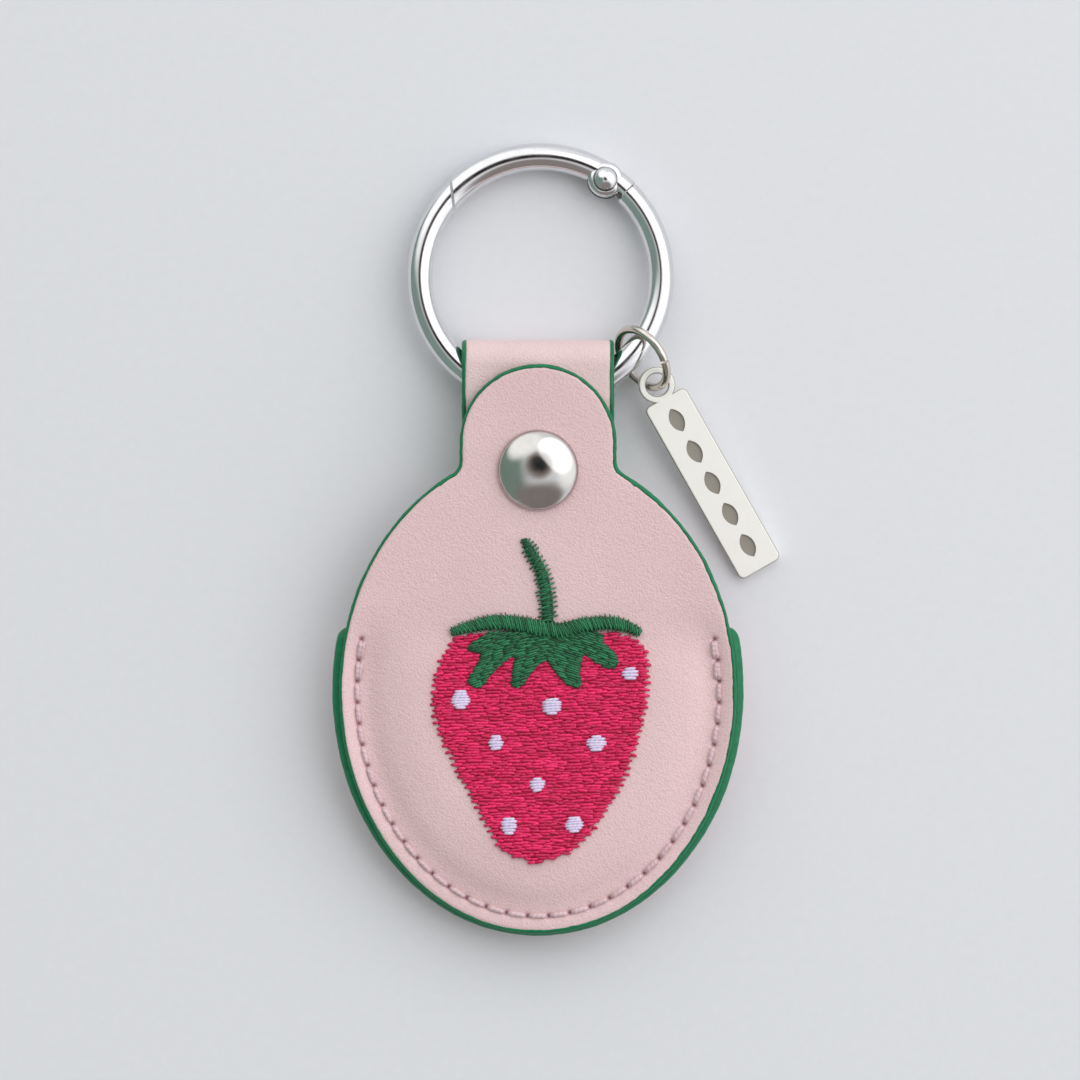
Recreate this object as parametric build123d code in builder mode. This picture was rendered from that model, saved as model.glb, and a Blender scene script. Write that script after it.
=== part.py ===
from build123d import *
import math
import os

# Snap-closed leather key pouch on a spring-gate ring, with a bar charm. Millimetres.
# The origin is on the flat back of the pouch. +Y runs towards the ring, +Z is the front.

os.makedirs("parts", exist_ok=True)

# Leather and its finish
LEATHER = 1.3
LINING = 0.3
LINING_INSET = 7.2
BACKING = 0.15  # stiffening sheet behind the embroidery
BACKING_INSET = 9.5
SHEET_SETBACK = 0.6  # inner sheets stop this far short of an edge or a fold
PAINT = 0.35  # bead of edge paint, outside the cut edge

# Pouch: the outlines are ellipses, half width by half height
FRONT_A, FRONT_B = 25.7, 31.0
BACK_A, BACK_B = 26.6, 31.95
SEAM_Z = 4.8  # height at which the front and the back are sewn together
FIELD_RISE = 1.4  # how far the front stands up inside the seam
FIELD_Z = SEAM_Z + FIELD_RISE  # underside of the raised front
FRONT_Z = FIELD_Z + LEATHER
MOUTH_Y = 8.1  # top edge of the back panel, where the pocket opens
POCKET_INSET = 7.0  # edge of the flat floor of the pocket
DISH_WALL = 0.5
RIM_INSET = 3.0  # width of the flat sewn rim
FIELD_WALL = 0.6  # slope of the raised edge, measured across the leather
FIELD_INSET = 6.0  # edge of the raised front
SHOULDER_FILLET = 5.0
SEAM_INSET = 2.0

# Flap: it folds forward along a line across the front, just above the calyx
FOLD_Y = 10.6
FOLD_GAP = 0.3
FLAP_TIP_RISE, FLAP_RUN = 1.8, 32.0  # rise of the flap towards its tip
NECK_HALF = 9.95
NECK_CENTRE_Y = 32.3
NECK_FILLET = 2.2
FLAP_LINING_END = 35.5
FLAP_SLOPE = math.degrees(math.atan(FLAP_TIP_RISE / FLAP_RUN))

# Strap: it rises from the back panel, passes round the ring and ends under the flap
STRAP_HALF = 9.65
STRAP_LIFT = 0.6
STRAP_START_Y = 16.0
STRAP_END_Y = 22.8
STRAP_FOLD_Y = 45.8
LOOP_INSIDE = 4.1
CLAMP_Y = 33.2
STRAP_BEND, CLAMP_BEND = 3.0, 2.0
LEG_GAP = 0.1  # between the strap's two legs at the stud

# Press stud
SNAP_Y = 28.8
CAP_RADIUS = 5.3
SHANK_RADIUS = 1.6
SHANK_HOLE = SHANK_RADIUS + 0.05
LINING_HOLE = 4.7

# Spring-gate ring, in its own plane: it leans so that its far side rests on the table
WIRE = 1.67
GATE_WIRE = 1.8
RING_RADIUS = 15.83
RING_TILT = 4.2
RING_CENTRE = Vector(0.33, 54.15, 3.07)
PIN_ANGLE, PIN_RADIUS = 56.2, 15.3
SHOULDER_ANGLE = 44.5
GATE_GAP = 0.35
CHEEK_RADIUS = 2.35
CHEEK_ROUND = 0.8
TONGUE_HALF = 0.6
TONGUE_RADIUS = 2.1
CAM_FLAT = 1.8
BORE_RADIUS = 0.85
SPRING_TURN = 8.0  # the spring's bore leans this far in from the tangent
BODY_START, GATE_SWEEP = 128.0, 102.0  # angles, before the slanted cut between them
CUT_OUTER, CUT_INNER = 133.2, 144.0  # polar angles of the slanted cut
SHOULDER_GAP = 0.4
SLOT_GAP, SLOT_REACH = 0.15, 0.3  # room round the tongue, above and beside it
PIN_SHANK, TONGUE_HOLE, CHEEK_HOLE = 0.9, 0.92, 0.95
PIN_HEAD, PIN_HEAD_TOP = 1.45, 2.7
BORE_DEPTH = 5.8
SPRING_RADIUS, SPRING_WIRE, SPRING_PITCH, SPRING_LENGTH = 0.6, 0.11, 0.75, 5.3
CUTTER = 6.0  # height of the tools that cut right through the wire

# Jump ring and charm
LINK_RADIUS = 4.3
LINK_WIRE = 0.55
LINK_CENTRE = Vector(13.7, 43.4, 4.45)
LINK_AXIS_U = Vector(0.574, -0.819, 0)
LINK_LEAN = 57.6
LINK_SPLIT = 63.0
EYE_CENTRE = Vector(15.55, 39.95, 3.65)
BAR_ANGLE = -60.3
BAR_DROP = 6.1
BAR_LENGTH, BAR_WIDTH, BAR_THICK = 26.0, 6.1, 1.4
BAR_START, BAR_CORNER, BAR_CHAMFER = 1.95, 0.8, 0.2
EYE_RADIUS, EYE_HOLE = 2.4, 1.5
LEAF_COUNT, FIRST_LEAF, LEAF_PITCH = 5, 5.3, 4.75
LEAF_LONG, LEAF_WIDE, LEAF_DEPTH = 1.7, 0.95, 0.25  # half length, half width, engraved depth


TALL, WIDE = 20.0, 60.0  # reach well past the object, for cutting


def polar(radius, angle):
    """Point at a polar angle, in degrees."""
    return (radius * math.cos(math.radians(angle)), radius * math.sin(math.radians(angle)))


def across(y):
    """Plane that cuts the pouch from side to side at y, facing the ring."""
    return Plane(origin=(0, y, 0), x_dir=(1, 0, 0), z_dir=(0, 1, 0))


def dome(rim, rim_height, apex_height):
    """Spherical cap profile from a rim radius up to an apex on the axis."""
    rise = apex_height - rim_height
    ball = (rim**2 + rise**2) / (2 * rise)
    halfway = apex_height - ball + math.sqrt(ball**2 - (rim / 2) ** 2)
    return ThreePointArc((rim, rim_height), (rim / 2, halfway), (0, apex_height))


def flap_under(y):
    """Height of the flap's underside."""
    return FIELD_Z + FLAP_TIP_RISE * (y - FOLD_Y) / FLAP_RUN


def flap_outline(grow=0.0):
    """Front outline: an ellipse that runs up into a round-ended neck."""
    Ellipse(FRONT_A + grow, FRONT_B + grow)
    with Locations((0, NECK_CENTRE_Y / 2)):
        Rectangle(2 * (NECK_HALF + grow), NECK_CENTRE_Y)
    with Locations((0, NECK_CENTRE_Y)):
        Circle(NECK_HALF + grow)
    foot = [v for v in vertices() if 24 < v.Y < NECK_CENTRE_Y - 1]
    fillet(foot, NECK_FILLET)


def flap_slab(low, high, end=WIDE):
    """Side profile of a layer of the flap, between two heights above its underside."""
    start = FOLD_Y + FOLD_GAP / 2
    with BuildLine() as side:
        Polyline(
            (start, flap_under(start) + low),
            (end, flap_under(end) + low),
            (end, flap_under(end) + high),
            (start, flap_under(start) + high),
            close=True,
        )
    make_face(side.edges())


# ---------------------------------------------------------------- back of the pouch

with BuildPart() as back_panel:
    with BuildSketch():
        Ellipse(BACK_A - POCKET_INSET + DISH_WALL, BACK_B - POCKET_INSET + DISH_WALL)
    with BuildSketch(Plane.XY.offset(SEAM_Z - LEATHER)):
        Ellipse(BACK_A - RIM_INSET, BACK_B - RIM_INSET)
    loft()
    with BuildSketch(Plane.XY.offset(SEAM_Z - LEATHER)):
        Ellipse(BACK_A, BACK_B)
    extrude(amount=LEATHER)
    with BuildSketch(Plane.XY.offset(LEATHER)):
        Ellipse(BACK_A - POCKET_INSET, BACK_B - POCKET_INSET)
    with BuildSketch(Plane.XY.offset(SEAM_Z)):
        Ellipse(BACK_A - RIM_INSET - 2 * DISH_WALL, BACK_B - RIM_INSET - 2 * DISH_WALL)
    loft(mode=Mode.SUBTRACT)
    with BuildSketch():
        with Locations((0, MOUTH_Y)):
            Rectangle(4 * BACK_A, 2 * BACK_B, align=(Align.CENTER, Align.MAX))
        with Locations((0, STRAP_START_Y / 2)):
            Rectangle(2 * STRAP_HALF, STRAP_START_Y)
        shoulders = [v for v in vertices() if abs(v.Y - MOUTH_Y) < 0.1 and abs(v.X) < 20]
        fillet(shoulders, SHOULDER_FILLET)
    extrude(amount=SEAM_Z, mode=Mode.INTERSECT)
back_panel.part.label = "back_panel"
export_step(back_panel.part, "parts/back_panel.step")

with BuildPart() as back_edge_paint:
    with BuildSketch(Plane.XY.offset(SEAM_Z - LEATHER)):
        Ellipse(BACK_A + PAINT, BACK_B + PAINT)
        Ellipse(BACK_A, BACK_B, mode=Mode.SUBTRACT)
    extrude(amount=LEATHER)
    split(bisect_by=across(MOUTH_Y), keep=Keep.BOTTOM)
back_edge_paint.part.label = "back_edge_paint"
export_step(back_edge_paint.part, "parts/back_edge_paint.step")

with BuildPart() as back_lining:
    with BuildSketch(Plane.XY.offset(LEATHER)):
        Ellipse(BACK_A - POCKET_INSET - 2 * DISH_WALL, BACK_B - POCKET_INSET - 2 * DISH_WALL)
    extrude(amount=LINING)
    split(bisect_by=across(MOUTH_Y - SHEET_SETBACK), keep=Keep.BOTTOM)
back_lining.part.label = "back_lining"
export_step(back_lining.part, "parts/back_lining.step")

# ---------------------------------------------------------------- front of the pouch

with BuildPart() as front_panel:
    with BuildSketch(Plane.XY.offset(SEAM_Z)):
        Ellipse(FRONT_A, FRONT_B)
    extrude(amount=LEATHER)
    with BuildSketch(Plane.XY.offset(SEAM_Z + LEATHER)):
        Ellipse(FRONT_A - RIM_INSET, FRONT_B - RIM_INSET)
    with BuildSketch(Plane.XY.offset(FRONT_Z)):
        Ellipse(FRONT_A - FIELD_INSET, FRONT_B - FIELD_INSET)
    loft()
    with BuildSketch(Plane.XY.offset(SEAM_Z)):
        Ellipse(FRONT_A - RIM_INSET - FIELD_WALL, FRONT_B - RIM_INSET - FIELD_WALL)
    with BuildSketch(Plane.XY.offset(FIELD_Z)):
        Ellipse(FRONT_A - FIELD_INSET - FIELD_WALL, FRONT_B - FIELD_INSET - FIELD_WALL)
    loft(mode=Mode.SUBTRACT)
    split(bisect_by=across(FOLD_Y - FOLD_GAP / 2), keep=Keep.BOTTOM)
front_panel.part.label = "front_panel"
export_step(front_panel.part, "parts/front_panel.step")

with BuildPart() as front_edge_paint:
    with BuildSketch(Plane.XY.offset(SEAM_Z)):
        Ellipse(FRONT_A + PAINT, FRONT_B + PAINT)
        Ellipse(FRONT_A, FRONT_B, mode=Mode.SUBTRACT)
    extrude(amount=LEATHER)
    split(bisect_by=across(FOLD_Y - FOLD_GAP / 2), keep=Keep.BOTTOM)
front_edge_paint.part.label = "front_edge_paint"
export_step(front_edge_paint.part, "parts/front_edge_paint.step")


def inner_sheet(inset, top, thickness):
    """Thin sheet bonded inside the raised front, below the fold."""
    with BuildPart() as sheet:
        with BuildSketch(Plane.XY.offset(top - thickness)):
            Ellipse(FRONT_A - inset, FRONT_B - inset)
        extrude(amount=thickness)
        split(bisect_by=across(FOLD_Y - SHEET_SETBACK), keep=Keep.BOTTOM)
    return sheet.part


embroidery_backing = inner_sheet(BACKING_INSET, FIELD_Z, BACKING)
embroidery_backing.label = "embroidery_backing"
export_step(embroidery_backing, "parts/embroidery_backing.step")

front_lining = inner_sheet(LINING_INSET, FIELD_Z - BACKING, LINING)
front_lining.label = "front_lining"
export_step(front_lining, "parts/front_lining.step")

# Stitches of the U-shaped seam: short threads lying on the front's rim, holes between them
STITCH_PITCH = 2.8
STITCH_LENGTH = 2.2
STITCH_RADIUS = 0.3
SEAM_END_Y = 6.6


def seam_places():
    """Evenly spaced places along the seam, from its left end down and up to its right end."""
    a, b = FRONT_A - SEAM_INSET, FRONT_B - SEAM_INSET
    start = math.pi - math.asin(SEAM_END_Y / b)
    angle, run, places = start, STITCH_PITCH / 2, []
    step = 0.002
    while angle < 3 * math.pi - start:
        run += step * math.hypot(a * math.sin(angle), b * math.cos(angle))
        if run >= STITCH_PITCH:
            run -= STITCH_PITCH
            heading = math.degrees(math.atan2(b * math.cos(angle), -a * math.sin(angle)))
            places.append((a * math.cos(angle), b * math.sin(angle), heading))
        angle += step
    return places


with BuildPart() as seam_thread:
    for x, y, heading in seam_places():
        with BuildSketch(Plane.XY.offset(SEAM_Z + LEATHER)):
            with Locations(Location((x, y, 0), (0, 0, heading))):
                SlotOverall(STITCH_LENGTH, 2 * STITCH_RADIUS)
        extrude(amount=STITCH_RADIUS)
seam_thread.part.label = "seam_thread"
export_step(seam_thread.part, "parts/seam_thread.step")

# ---------------------------------------------------------------- embroidery

FILL = 0.45  # height of the berry's fill stitches
SATIN = 0.35
BAND_WIDTH, BAND_HEIGHT = 2.2, 0.9

BERRY = [
    (0, -22.6), (4.9, -20.5), (9.2, -15.0), (11.8, -9.8), (13.4, -4.4), (14.2, 1.6),
    (13.4, 5.8), (9.0, 7.4), (-8.0, 7.4), (-11.6, 5.6), (-13.5, 0.4), (-13.1, -4.4),
    (-10.7, -9.8), (-8.0, -15.0), (-4.7, -20.5),
]
BAND = [
    (-11.2, 7.6), (-8.4, 8.4), (-5.1, 8.9), (-1.7, 8.5), (1.2, 7.95),
    (3.2, 7.8), (6.0, 8.5), (8.9, 8.8), (11.4, 8.4), (13.2, 7.5),
]
LEAVES = [
    (-5.7, 7.3), (-8.7, 5.7), (-8.4, 4.9), (-7.0, 4.9), (-8.85, 1.0), (-7.2, 0.6),
    (-3.4, 3.7), (-2.7, 4.3), (-3.5, 1.0), (-2.4, 0.5), (0.85, 4.3), (2.0, 3.55),
    (4.0, 0.85), (5.8, 0.7), (5.35, 4.6), (6.7, 4.6), (8.9, 3.2), (10.4, 3.3),
    (10.3, 4.7), (7.95, 6.8), (7.2, 7.3),
]
STEM = [(-1.6, 19.3), (-0.9, 17.9), (0.1, 16.2), (0.85, 13.8), (1.2, FOLD_Y + 0.9)]
STEM_WIDTH, STEM_HEIGHT = 1.8, 0.6
SEEDS = [
    (-10.1, -1.2), (1.8, -2.1), (12.0, 2.2), (-5.5, -6.8),
    (7.6, -6.9), (-0.1, -12.3), (-3.8, -17.7), (4.7, -17.5),
]
SEED_LENGTH, SEED_WIDTH, SEED_HEIGHT = 2.3, 1.9, 0.25


def satin_column(points, width):
    """Round-ended column that follows a smooth line."""
    with BuildLine() as middle:
        Spline(*points)
    trace(middle.line, width)


with BuildPart() as calyx_band:
    with BuildSketch(Plane.XY.offset(FRONT_Z)):
        satin_column(BAND, BAND_WIDTH)
    extrude(amount=BAND_HEIGHT)
calyx_band.part.label = "calyx_band"
export_step(calyx_band.part, "parts/calyx_band.step")

with BuildPart() as berry_embroidery:
    with BuildSketch(Plane.XY.offset(FRONT_Z)):
        with BuildLine():
            Spline(*BERRY, periodic=True)
        make_face()
    extrude(amount=FILL)
    add(calyx_band.part, mode=Mode.SUBTRACT)
berry = berry_embroidery.part.solids().sort_by(SortBy.VOLUME)[-1]
berry.label = "berry_embroidery"
export_step(berry, "parts/berry_embroidery.step")

with BuildPart() as calyx_leaves:
    with BuildSketch(Plane.XY.offset(FRONT_Z + FILL)):
        with BuildLine():
            Polyline(*LEAVES, close=True)
        make_face()
    extrude(amount=SATIN)
    add(calyx_band.part, mode=Mode.SUBTRACT)
leaves = calyx_leaves.part.solids().sort_by(SortBy.VOLUME)[-1]
leaves.label = "calyx_leaves"
export_step(leaves, "parts/calyx_leaves.step")

with BuildPart() as seed_embroidery:
    with BuildSketch(Plane.XY.offset(FRONT_Z + FILL)):
        with Locations(*SEEDS):
            Ellipse(SEED_LENGTH / 2, SEED_WIDTH / 2)
    extrude(amount=SEED_HEIGHT)
seed_embroidery.part.label = "seed_embroidery"
export_step(seed_embroidery.part, "parts/seed_embroidery.step")

# ---------------------------------------------------------------- strap round the ring


def strap_path():
    """Middle line of the strap, seen from the side: y, then z."""
    low = LEATHER / 2
    back = STRAP_LIFT + LEATHER / 2
    top = back + LEATHER + LOOP_INSIDE
    front = back + LEATHER + LEG_GAP
    end = STRAP_FOLD_Y - LEATHER / 2
    lean = top - front
    points = [
        (STRAP_START_Y, low), (18.0, low), (21.0, back), (end, back), (end, top),
        (CLAMP_Y + lean, top), (CLAMP_Y, front), (STRAP_END_Y, front),
    ]
    turn = 0.49 * (top - back)
    FilletPolyline(*points, radius=(STRAP_BEND, STRAP_BEND, turn, turn, STRAP_BEND, CLAMP_BEND))


def along_strap(left, right):
    """Solid swept along the strap's path between two distances from its middle."""
    with BuildPart() as band:
        with BuildLine(Plane.YZ) as path:
            strap_path()
        with BuildSketch(Plane(origin=path.line @ 0, x_dir=(1, 0, 0), z_dir=path.line % 0)):
            with Locations(((left + right) / 2, 0)):
                Rectangle(right - left, LEATHER)
        sweep()
        with Locations((0, SNAP_Y, 0)):
            Cylinder(SHANK_HOLE, STRAP_LIFT + 3 * LEATHER, mode=Mode.SUBTRACT,
                     align=(Align.CENTER, Align.CENTER, Align.MIN))
    return band.part


strap = along_strap(-STRAP_HALF, STRAP_HALF)
strap.label = "strap"
export_step(strap, "parts/strap.step")

paint_sides = [
    along_strap(-STRAP_HALF - PAINT, -STRAP_HALF),
    along_strap(STRAP_HALF, STRAP_HALF + PAINT),
]
strap_edge_paint = Compound(label="strap_edge_paint", children=paint_sides)
export_step(strap_edge_paint, "parts/strap_edge_paint.step")

# ---------------------------------------------------------------- flap

with BuildPart() as flap_panel:
    with BuildSketch():
        flap_outline()
    extrude(amount=TALL)
    with BuildSketch(Plane.YZ):
        flap_slab(0, LEATHER)
    extrude(amount=WIDE, both=True, mode=Mode.INTERSECT)
    with Locations((0, SNAP_Y, 0)):
        Cylinder(SHANK_HOLE, TALL, mode=Mode.SUBTRACT)
flap_panel.part.label = "flap_panel"
export_step(flap_panel.part, "parts/flap_panel.step")

with BuildPart() as flap_edge_paint:
    with BuildSketch():
        flap_outline(PAINT)
    extrude(amount=TALL)
    with BuildSketch():
        flap_outline()
    extrude(amount=TALL, mode=Mode.SUBTRACT)
    with BuildSketch(Plane.YZ):
        flap_slab(0, LEATHER)
    extrude(amount=WIDE, both=True, mode=Mode.INTERSECT)
flap_edge_paint.part.label = "flap_edge_paint"
export_step(flap_edge_paint.part, "parts/flap_edge_paint.step")

with BuildPart() as flap_lining:
    with BuildSketch():
        flap_outline(-2.0)
    extrude(amount=TALL)
    with BuildSketch(Plane.YZ):
        flap_slab(-LINING, 0, end=FLAP_LINING_END)
    extrude(amount=WIDE, both=True, mode=Mode.INTERSECT)
    with Locations((0, SNAP_Y, 0)):
        Cylinder(LINING_HOLE, TALL, mode=Mode.SUBTRACT)
flap_lining.part.label = "flap_lining"
export_step(flap_lining.part, "parts/flap_lining.step")

with BuildPart() as stem_embroidery:
    with BuildSketch():
        satin_column(STEM, STEM_WIDTH)
    extrude(amount=TALL)
    with BuildSketch(Plane.YZ):
        flap_slab(LEATHER, LEATHER + STEM_HEIGHT)
    extrude(amount=WIDE, both=True, mode=Mode.INTERSECT)
stem_embroidery.part.label = "stem_embroidery"
export_step(stem_embroidery.part, "parts/stem_embroidery.step")

# ---------------------------------------------------------------- press stud

strap_top = STRAP_LIFT + 2 * LEATHER + LEG_GAP
snap_side = Plane(origin=(0, SNAP_Y, 0), x_dir=(0, 1, 0), z_dir=(1, 0, 0))
stud_axis = Axis((0, SNAP_Y, 0), (0, 0, 1))
flap_seat = Plane(
    origin=(0, SNAP_Y, flap_under(SNAP_Y)),
    x_dir=(0, 1, math.tan(math.radians(FLAP_SLOPE))),
    z_dir=(1, 0, 0),
)
flap_axis = Axis(flap_seat.origin, flap_seat.y_dir)

with BuildPart() as snap_post:
    with BuildSketch(snap_side):
        with BuildLine():
            Polyline((0, 0.05), (3.2, 0.05), (4.2, 0.35), (4.2, STRAP_LIFT), (SHANK_RADIUS, STRAP_LIFT),
                     (SHANK_RADIUS, strap_top + 0.3), (0, strap_top + 0.3), close=True)
        make_face()
    revolve(axis=stud_axis)
snap_post.part.label = "snap_post"
export_step(snap_post.part, "parts/snap_post.step")

with BuildPart() as snap_stud:
    with BuildSketch(snap_side):
        with BuildLine():
            rim = Polyline((1.0, strap_top + 2.4), (0, strap_top + 2.4), (0, strap_top + 0.3),
                           (SHANK_RADIUS, strap_top + 0.3), (SHANK_RADIUS, strap_top),
                           (3.8, strap_top), (3.8, strap_top + 0.4), (1.5, strap_top + 0.5),
                           (1.5, strap_top + 1.2))
            ThreePointArc(rim @ 1, (1.9, strap_top + 1.8), rim @ 0)
        make_face()
    revolve(axis=stud_axis)
snap_stud.part.label = "snap_stud"
export_step(snap_stud.part, "parts/snap_stud.step")

with BuildPart() as snap_cap:
    with BuildSketch(flap_seat):
        with BuildLine():
            Polyline((0, LEATHER + 2.3), (0, -0.9), (SHANK_RADIUS, -0.9), (SHANK_RADIUS, LEATHER),
                     (CAP_RADIUS - 0.2, LEATHER), (CAP_RADIUS, LEATHER + 0.2),
                     (CAP_RADIUS, LEATHER + 0.45))
            dome(CAP_RADIUS, LEATHER + 0.45, LEATHER + 2.3)
        make_face()
    revolve(axis=flap_axis)
snap_cap.part.label = "snap_cap"
export_step(snap_cap.part, "parts/snap_cap.step")

with BuildPart() as snap_socket:
    with BuildSketch(flap_seat):
        with BuildLine():
            Polyline((SHANK_RADIUS + 0.02, 0), (4.6, 0), (4.6, -0.5), (3.6, -0.9), (3.6, -2.3),
                     (2.45, -2.3), (2.45, -1.9), (2.8, -1.9), (2.8, -1.3), (2.45, -1.3),
                     (2.45, -0.5), (SHANK_RADIUS + 0.02, -0.5), close=True)
        make_face()
    revolve(axis=flap_axis)
snap_socket.part.label = "snap_socket"
export_step(snap_socket.part, "parts/snap_socket.step")

with BuildPart() as snap_spring:
    with BuildSketch(flap_seat):
        with Locations((2.5, -1.6)):
            Circle(0.22)
    revolve(axis=flap_axis)
snap_spring.part.label = "snap_spring"
export_step(snap_spring.part, "parts/snap_spring.step")

# ---------------------------------------------------------------- spring-gate ring

lean_sin = math.sin(math.radians(RING_TILT))
lean_cos = math.cos(math.radians(RING_TILT))
ring_plane = Plane(origin=RING_CENTRE, x_dir=(1, 0, 0), z_dir=(0, lean_sin, lean_cos))
pin_x, pin_y = polar(PIN_RADIUS, PIN_ANGLE)

# The gate meets the body on a slanted face, so that it can only open inwards
cut_outer = polar(RING_RADIUS + WIRE, CUT_OUTER)
cut_inner = polar(RING_RADIUS - WIRE, CUT_INNER)
cut_heading = math.degrees(math.atan2(cut_inner[1] - cut_outer[1], cut_inner[0] - cut_outer[0]))

with BuildPart(ring_plane) as ring_body:
    Torus(RING_RADIUS, WIRE, 0, 360, 360 - BODY_START + SHOULDER_ANGLE - SHOULDER_GAP,
          rotation=(0, 0, BODY_START), align=None)
    with Locations(Location((*cut_outer, 0), (0, 0, cut_heading))):
        Box(2 * CUTTER, CUTTER, CUTTER, align=(Align.CENTER, Align.MIN, Align.CENTER),
            mode=Mode.SUBTRACT)
    with BuildSketch(ring_plane.offset(-TONGUE_HALF)):
        with Locations((pin_x, pin_y)):
            Circle(TONGUE_RADIUS)
        with Locations(Location((*polar(15.7, 48.5), 0), (0, 0, PIN_ANGLE - 6))):
            Rectangle(2.5, 6.0)
        with Locations(Location((pin_x, pin_y, 0), (0, 0, PIN_ANGLE + SPRING_TURN))):
            with Locations((0, CAM_FLAT)):
                Rectangle(CUTTER, 2.0, align=(Align.CENTER, Align.MIN), mode=Mode.SUBTRACT)
    extrude(amount=2 * TONGUE_HALF)
    with Locations((pin_x, pin_y, 0)):
        Cylinder(TONGUE_HOLE, CUTTER, mode=Mode.SUBTRACT)
ring_body.part.label = "ring_body"
export_step(ring_body.part, "parts/ring_body.step")

# The gate's rounded end, made in the plane of the ring and placed with the gate
with BuildPart() as knuckle:
    with Locations((pin_x, pin_y, 0)):
        Cylinder(CHEEK_RADIUS, 2 * GATE_WIRE)
    fillet(knuckle.edges().filter_by(GeomType.CIRCLE), CHEEK_ROUND)

with BuildPart(ring_plane) as ring_gate:
    Torus(RING_RADIUS, GATE_WIRE, 0, 360, GATE_SWEEP,
          rotation=(0, 0, SHOULDER_ANGLE + SHOULDER_GAP), align=None)
    with Locations(Location((*cut_outer, 0), (0, 0, cut_heading))):
        with Locations((0, GATE_GAP)):
            Box(2 * CUTTER, 8, CUTTER, align=(Align.CENTER, Align.MAX, Align.CENTER),
                mode=Mode.SUBTRACT)
    with Locations((*polar(13.0, 45.5), 0)):
        Cylinder(TONGUE_RADIUS, CUTTER, mode=Mode.SUBTRACT)
    add(knuckle.part)
    with BuildSketch(ring_plane.offset(-TONGUE_HALF - SLOT_GAP)):
        with Locations((pin_x, pin_y)):
            Circle(TONGUE_RADIUS + SLOT_REACH)
        with Locations(Location((*polar(15.2, 47.0), 0), (0, 0, PIN_ANGLE - 4))):
            Rectangle(9.0, 6.4)
    extrude(amount=2 * (TONGUE_HALF + SLOT_GAP), mode=Mode.SUBTRACT)
    with Locations((pin_x, pin_y, 0)):
        Cylinder(CHEEK_HOLE, CUTTER, mode=Mode.SUBTRACT)
    with Locations(Location((pin_x, pin_y, 0), (0, 0, PIN_ANGLE + SPRING_TURN))):
        with Locations(Location((0, CAM_FLAT, 0), (-90, 0, 0))):
            Cylinder(BORE_RADIUS, BORE_DEPTH, align=(Align.CENTER, Align.CENTER, Align.MIN),
                     mode=Mode.SUBTRACT)
ring_gate.part.label = "ring_gate"
export_step(ring_gate.part, "parts/ring_gate.step")

with BuildPart() as gate_pin:
    with BuildSketch(Plane(ring_plane.from_local_coords((pin_x, pin_y, 0)), ring_plane.x_dir,
                           -ring_plane.y_dir)):
        with BuildLine():
            Polyline((0, PIN_HEAD_TOP), (0, -1.75), (PIN_SHANK, -1.75), (PIN_SHANK, GATE_WIRE + 0.05),
                     (PIN_HEAD, GATE_WIRE + 0.05), (PIN_HEAD, GATE_WIRE + 0.2))
            dome(PIN_HEAD, GATE_WIRE + 0.2, PIN_HEAD_TOP)
        make_face()
    pin_point = ring_plane.from_local_coords((pin_x, pin_y, 0))
    revolve(axis=Axis(pin_point, ring_plane.z_dir))
gate_pin.part.label = "gate_pin"
export_step(gate_pin.part, "parts/gate_pin.step")

heading = PIN_ANGLE + SPRING_TURN + 90
spring_dir = ring_plane.from_local_coords(Vector(*polar(1, heading), 0)) - ring_plane.origin
spring_start = pin_point + spring_dir * (CAM_FLAT + SPRING_WIRE + 0.06)

with BuildPart() as gate_spring:
    with BuildLine() as coil:
        Helix(SPRING_PITCH, SPRING_LENGTH, SPRING_RADIUS, center=spring_start, direction=spring_dir)
    with BuildSketch(Plane(origin=coil.line @ 0, z_dir=coil.line % 0)):
        Circle(SPRING_WIRE)
    sweep(is_frenet=True)
gate_spring.part.label = "gate_spring"
export_step(gate_spring.part, "parts/gate_spring.step")

# ---------------------------------------------------------------- jump ring and charm

lean = math.radians(LINK_LEAN)
link_v = Vector(-LINK_AXIS_U.Y * math.cos(lean), LINK_AXIS_U.X * math.cos(lean), math.sin(lean))
link_plane = Plane(origin=LINK_CENTRE, x_dir=LINK_AXIS_U, z_dir=LINK_AXIS_U.cross(link_v))

with BuildPart(link_plane) as jump_ring:
    Torus(LINK_RADIUS, LINK_WIRE, 0, 360, 356, rotation=(0, 0, LINK_SPLIT + 2), align=None)
jump_ring.part.label = "jump_ring"
export_step(jump_ring.part, "parts/jump_ring.step")

along, drop = math.radians(BAR_ANGLE), math.radians(BAR_DROP)
bar_dir = Vector(math.cos(along) * math.cos(drop), math.sin(along) * math.cos(drop), -math.sin(drop))
bar_side = Vector(0, 0, 1).cross(bar_dir).normalized()
charm_plane = Plane(origin=EYE_CENTRE, x_dir=bar_dir, z_dir=bar_dir.cross(bar_side))

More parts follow.
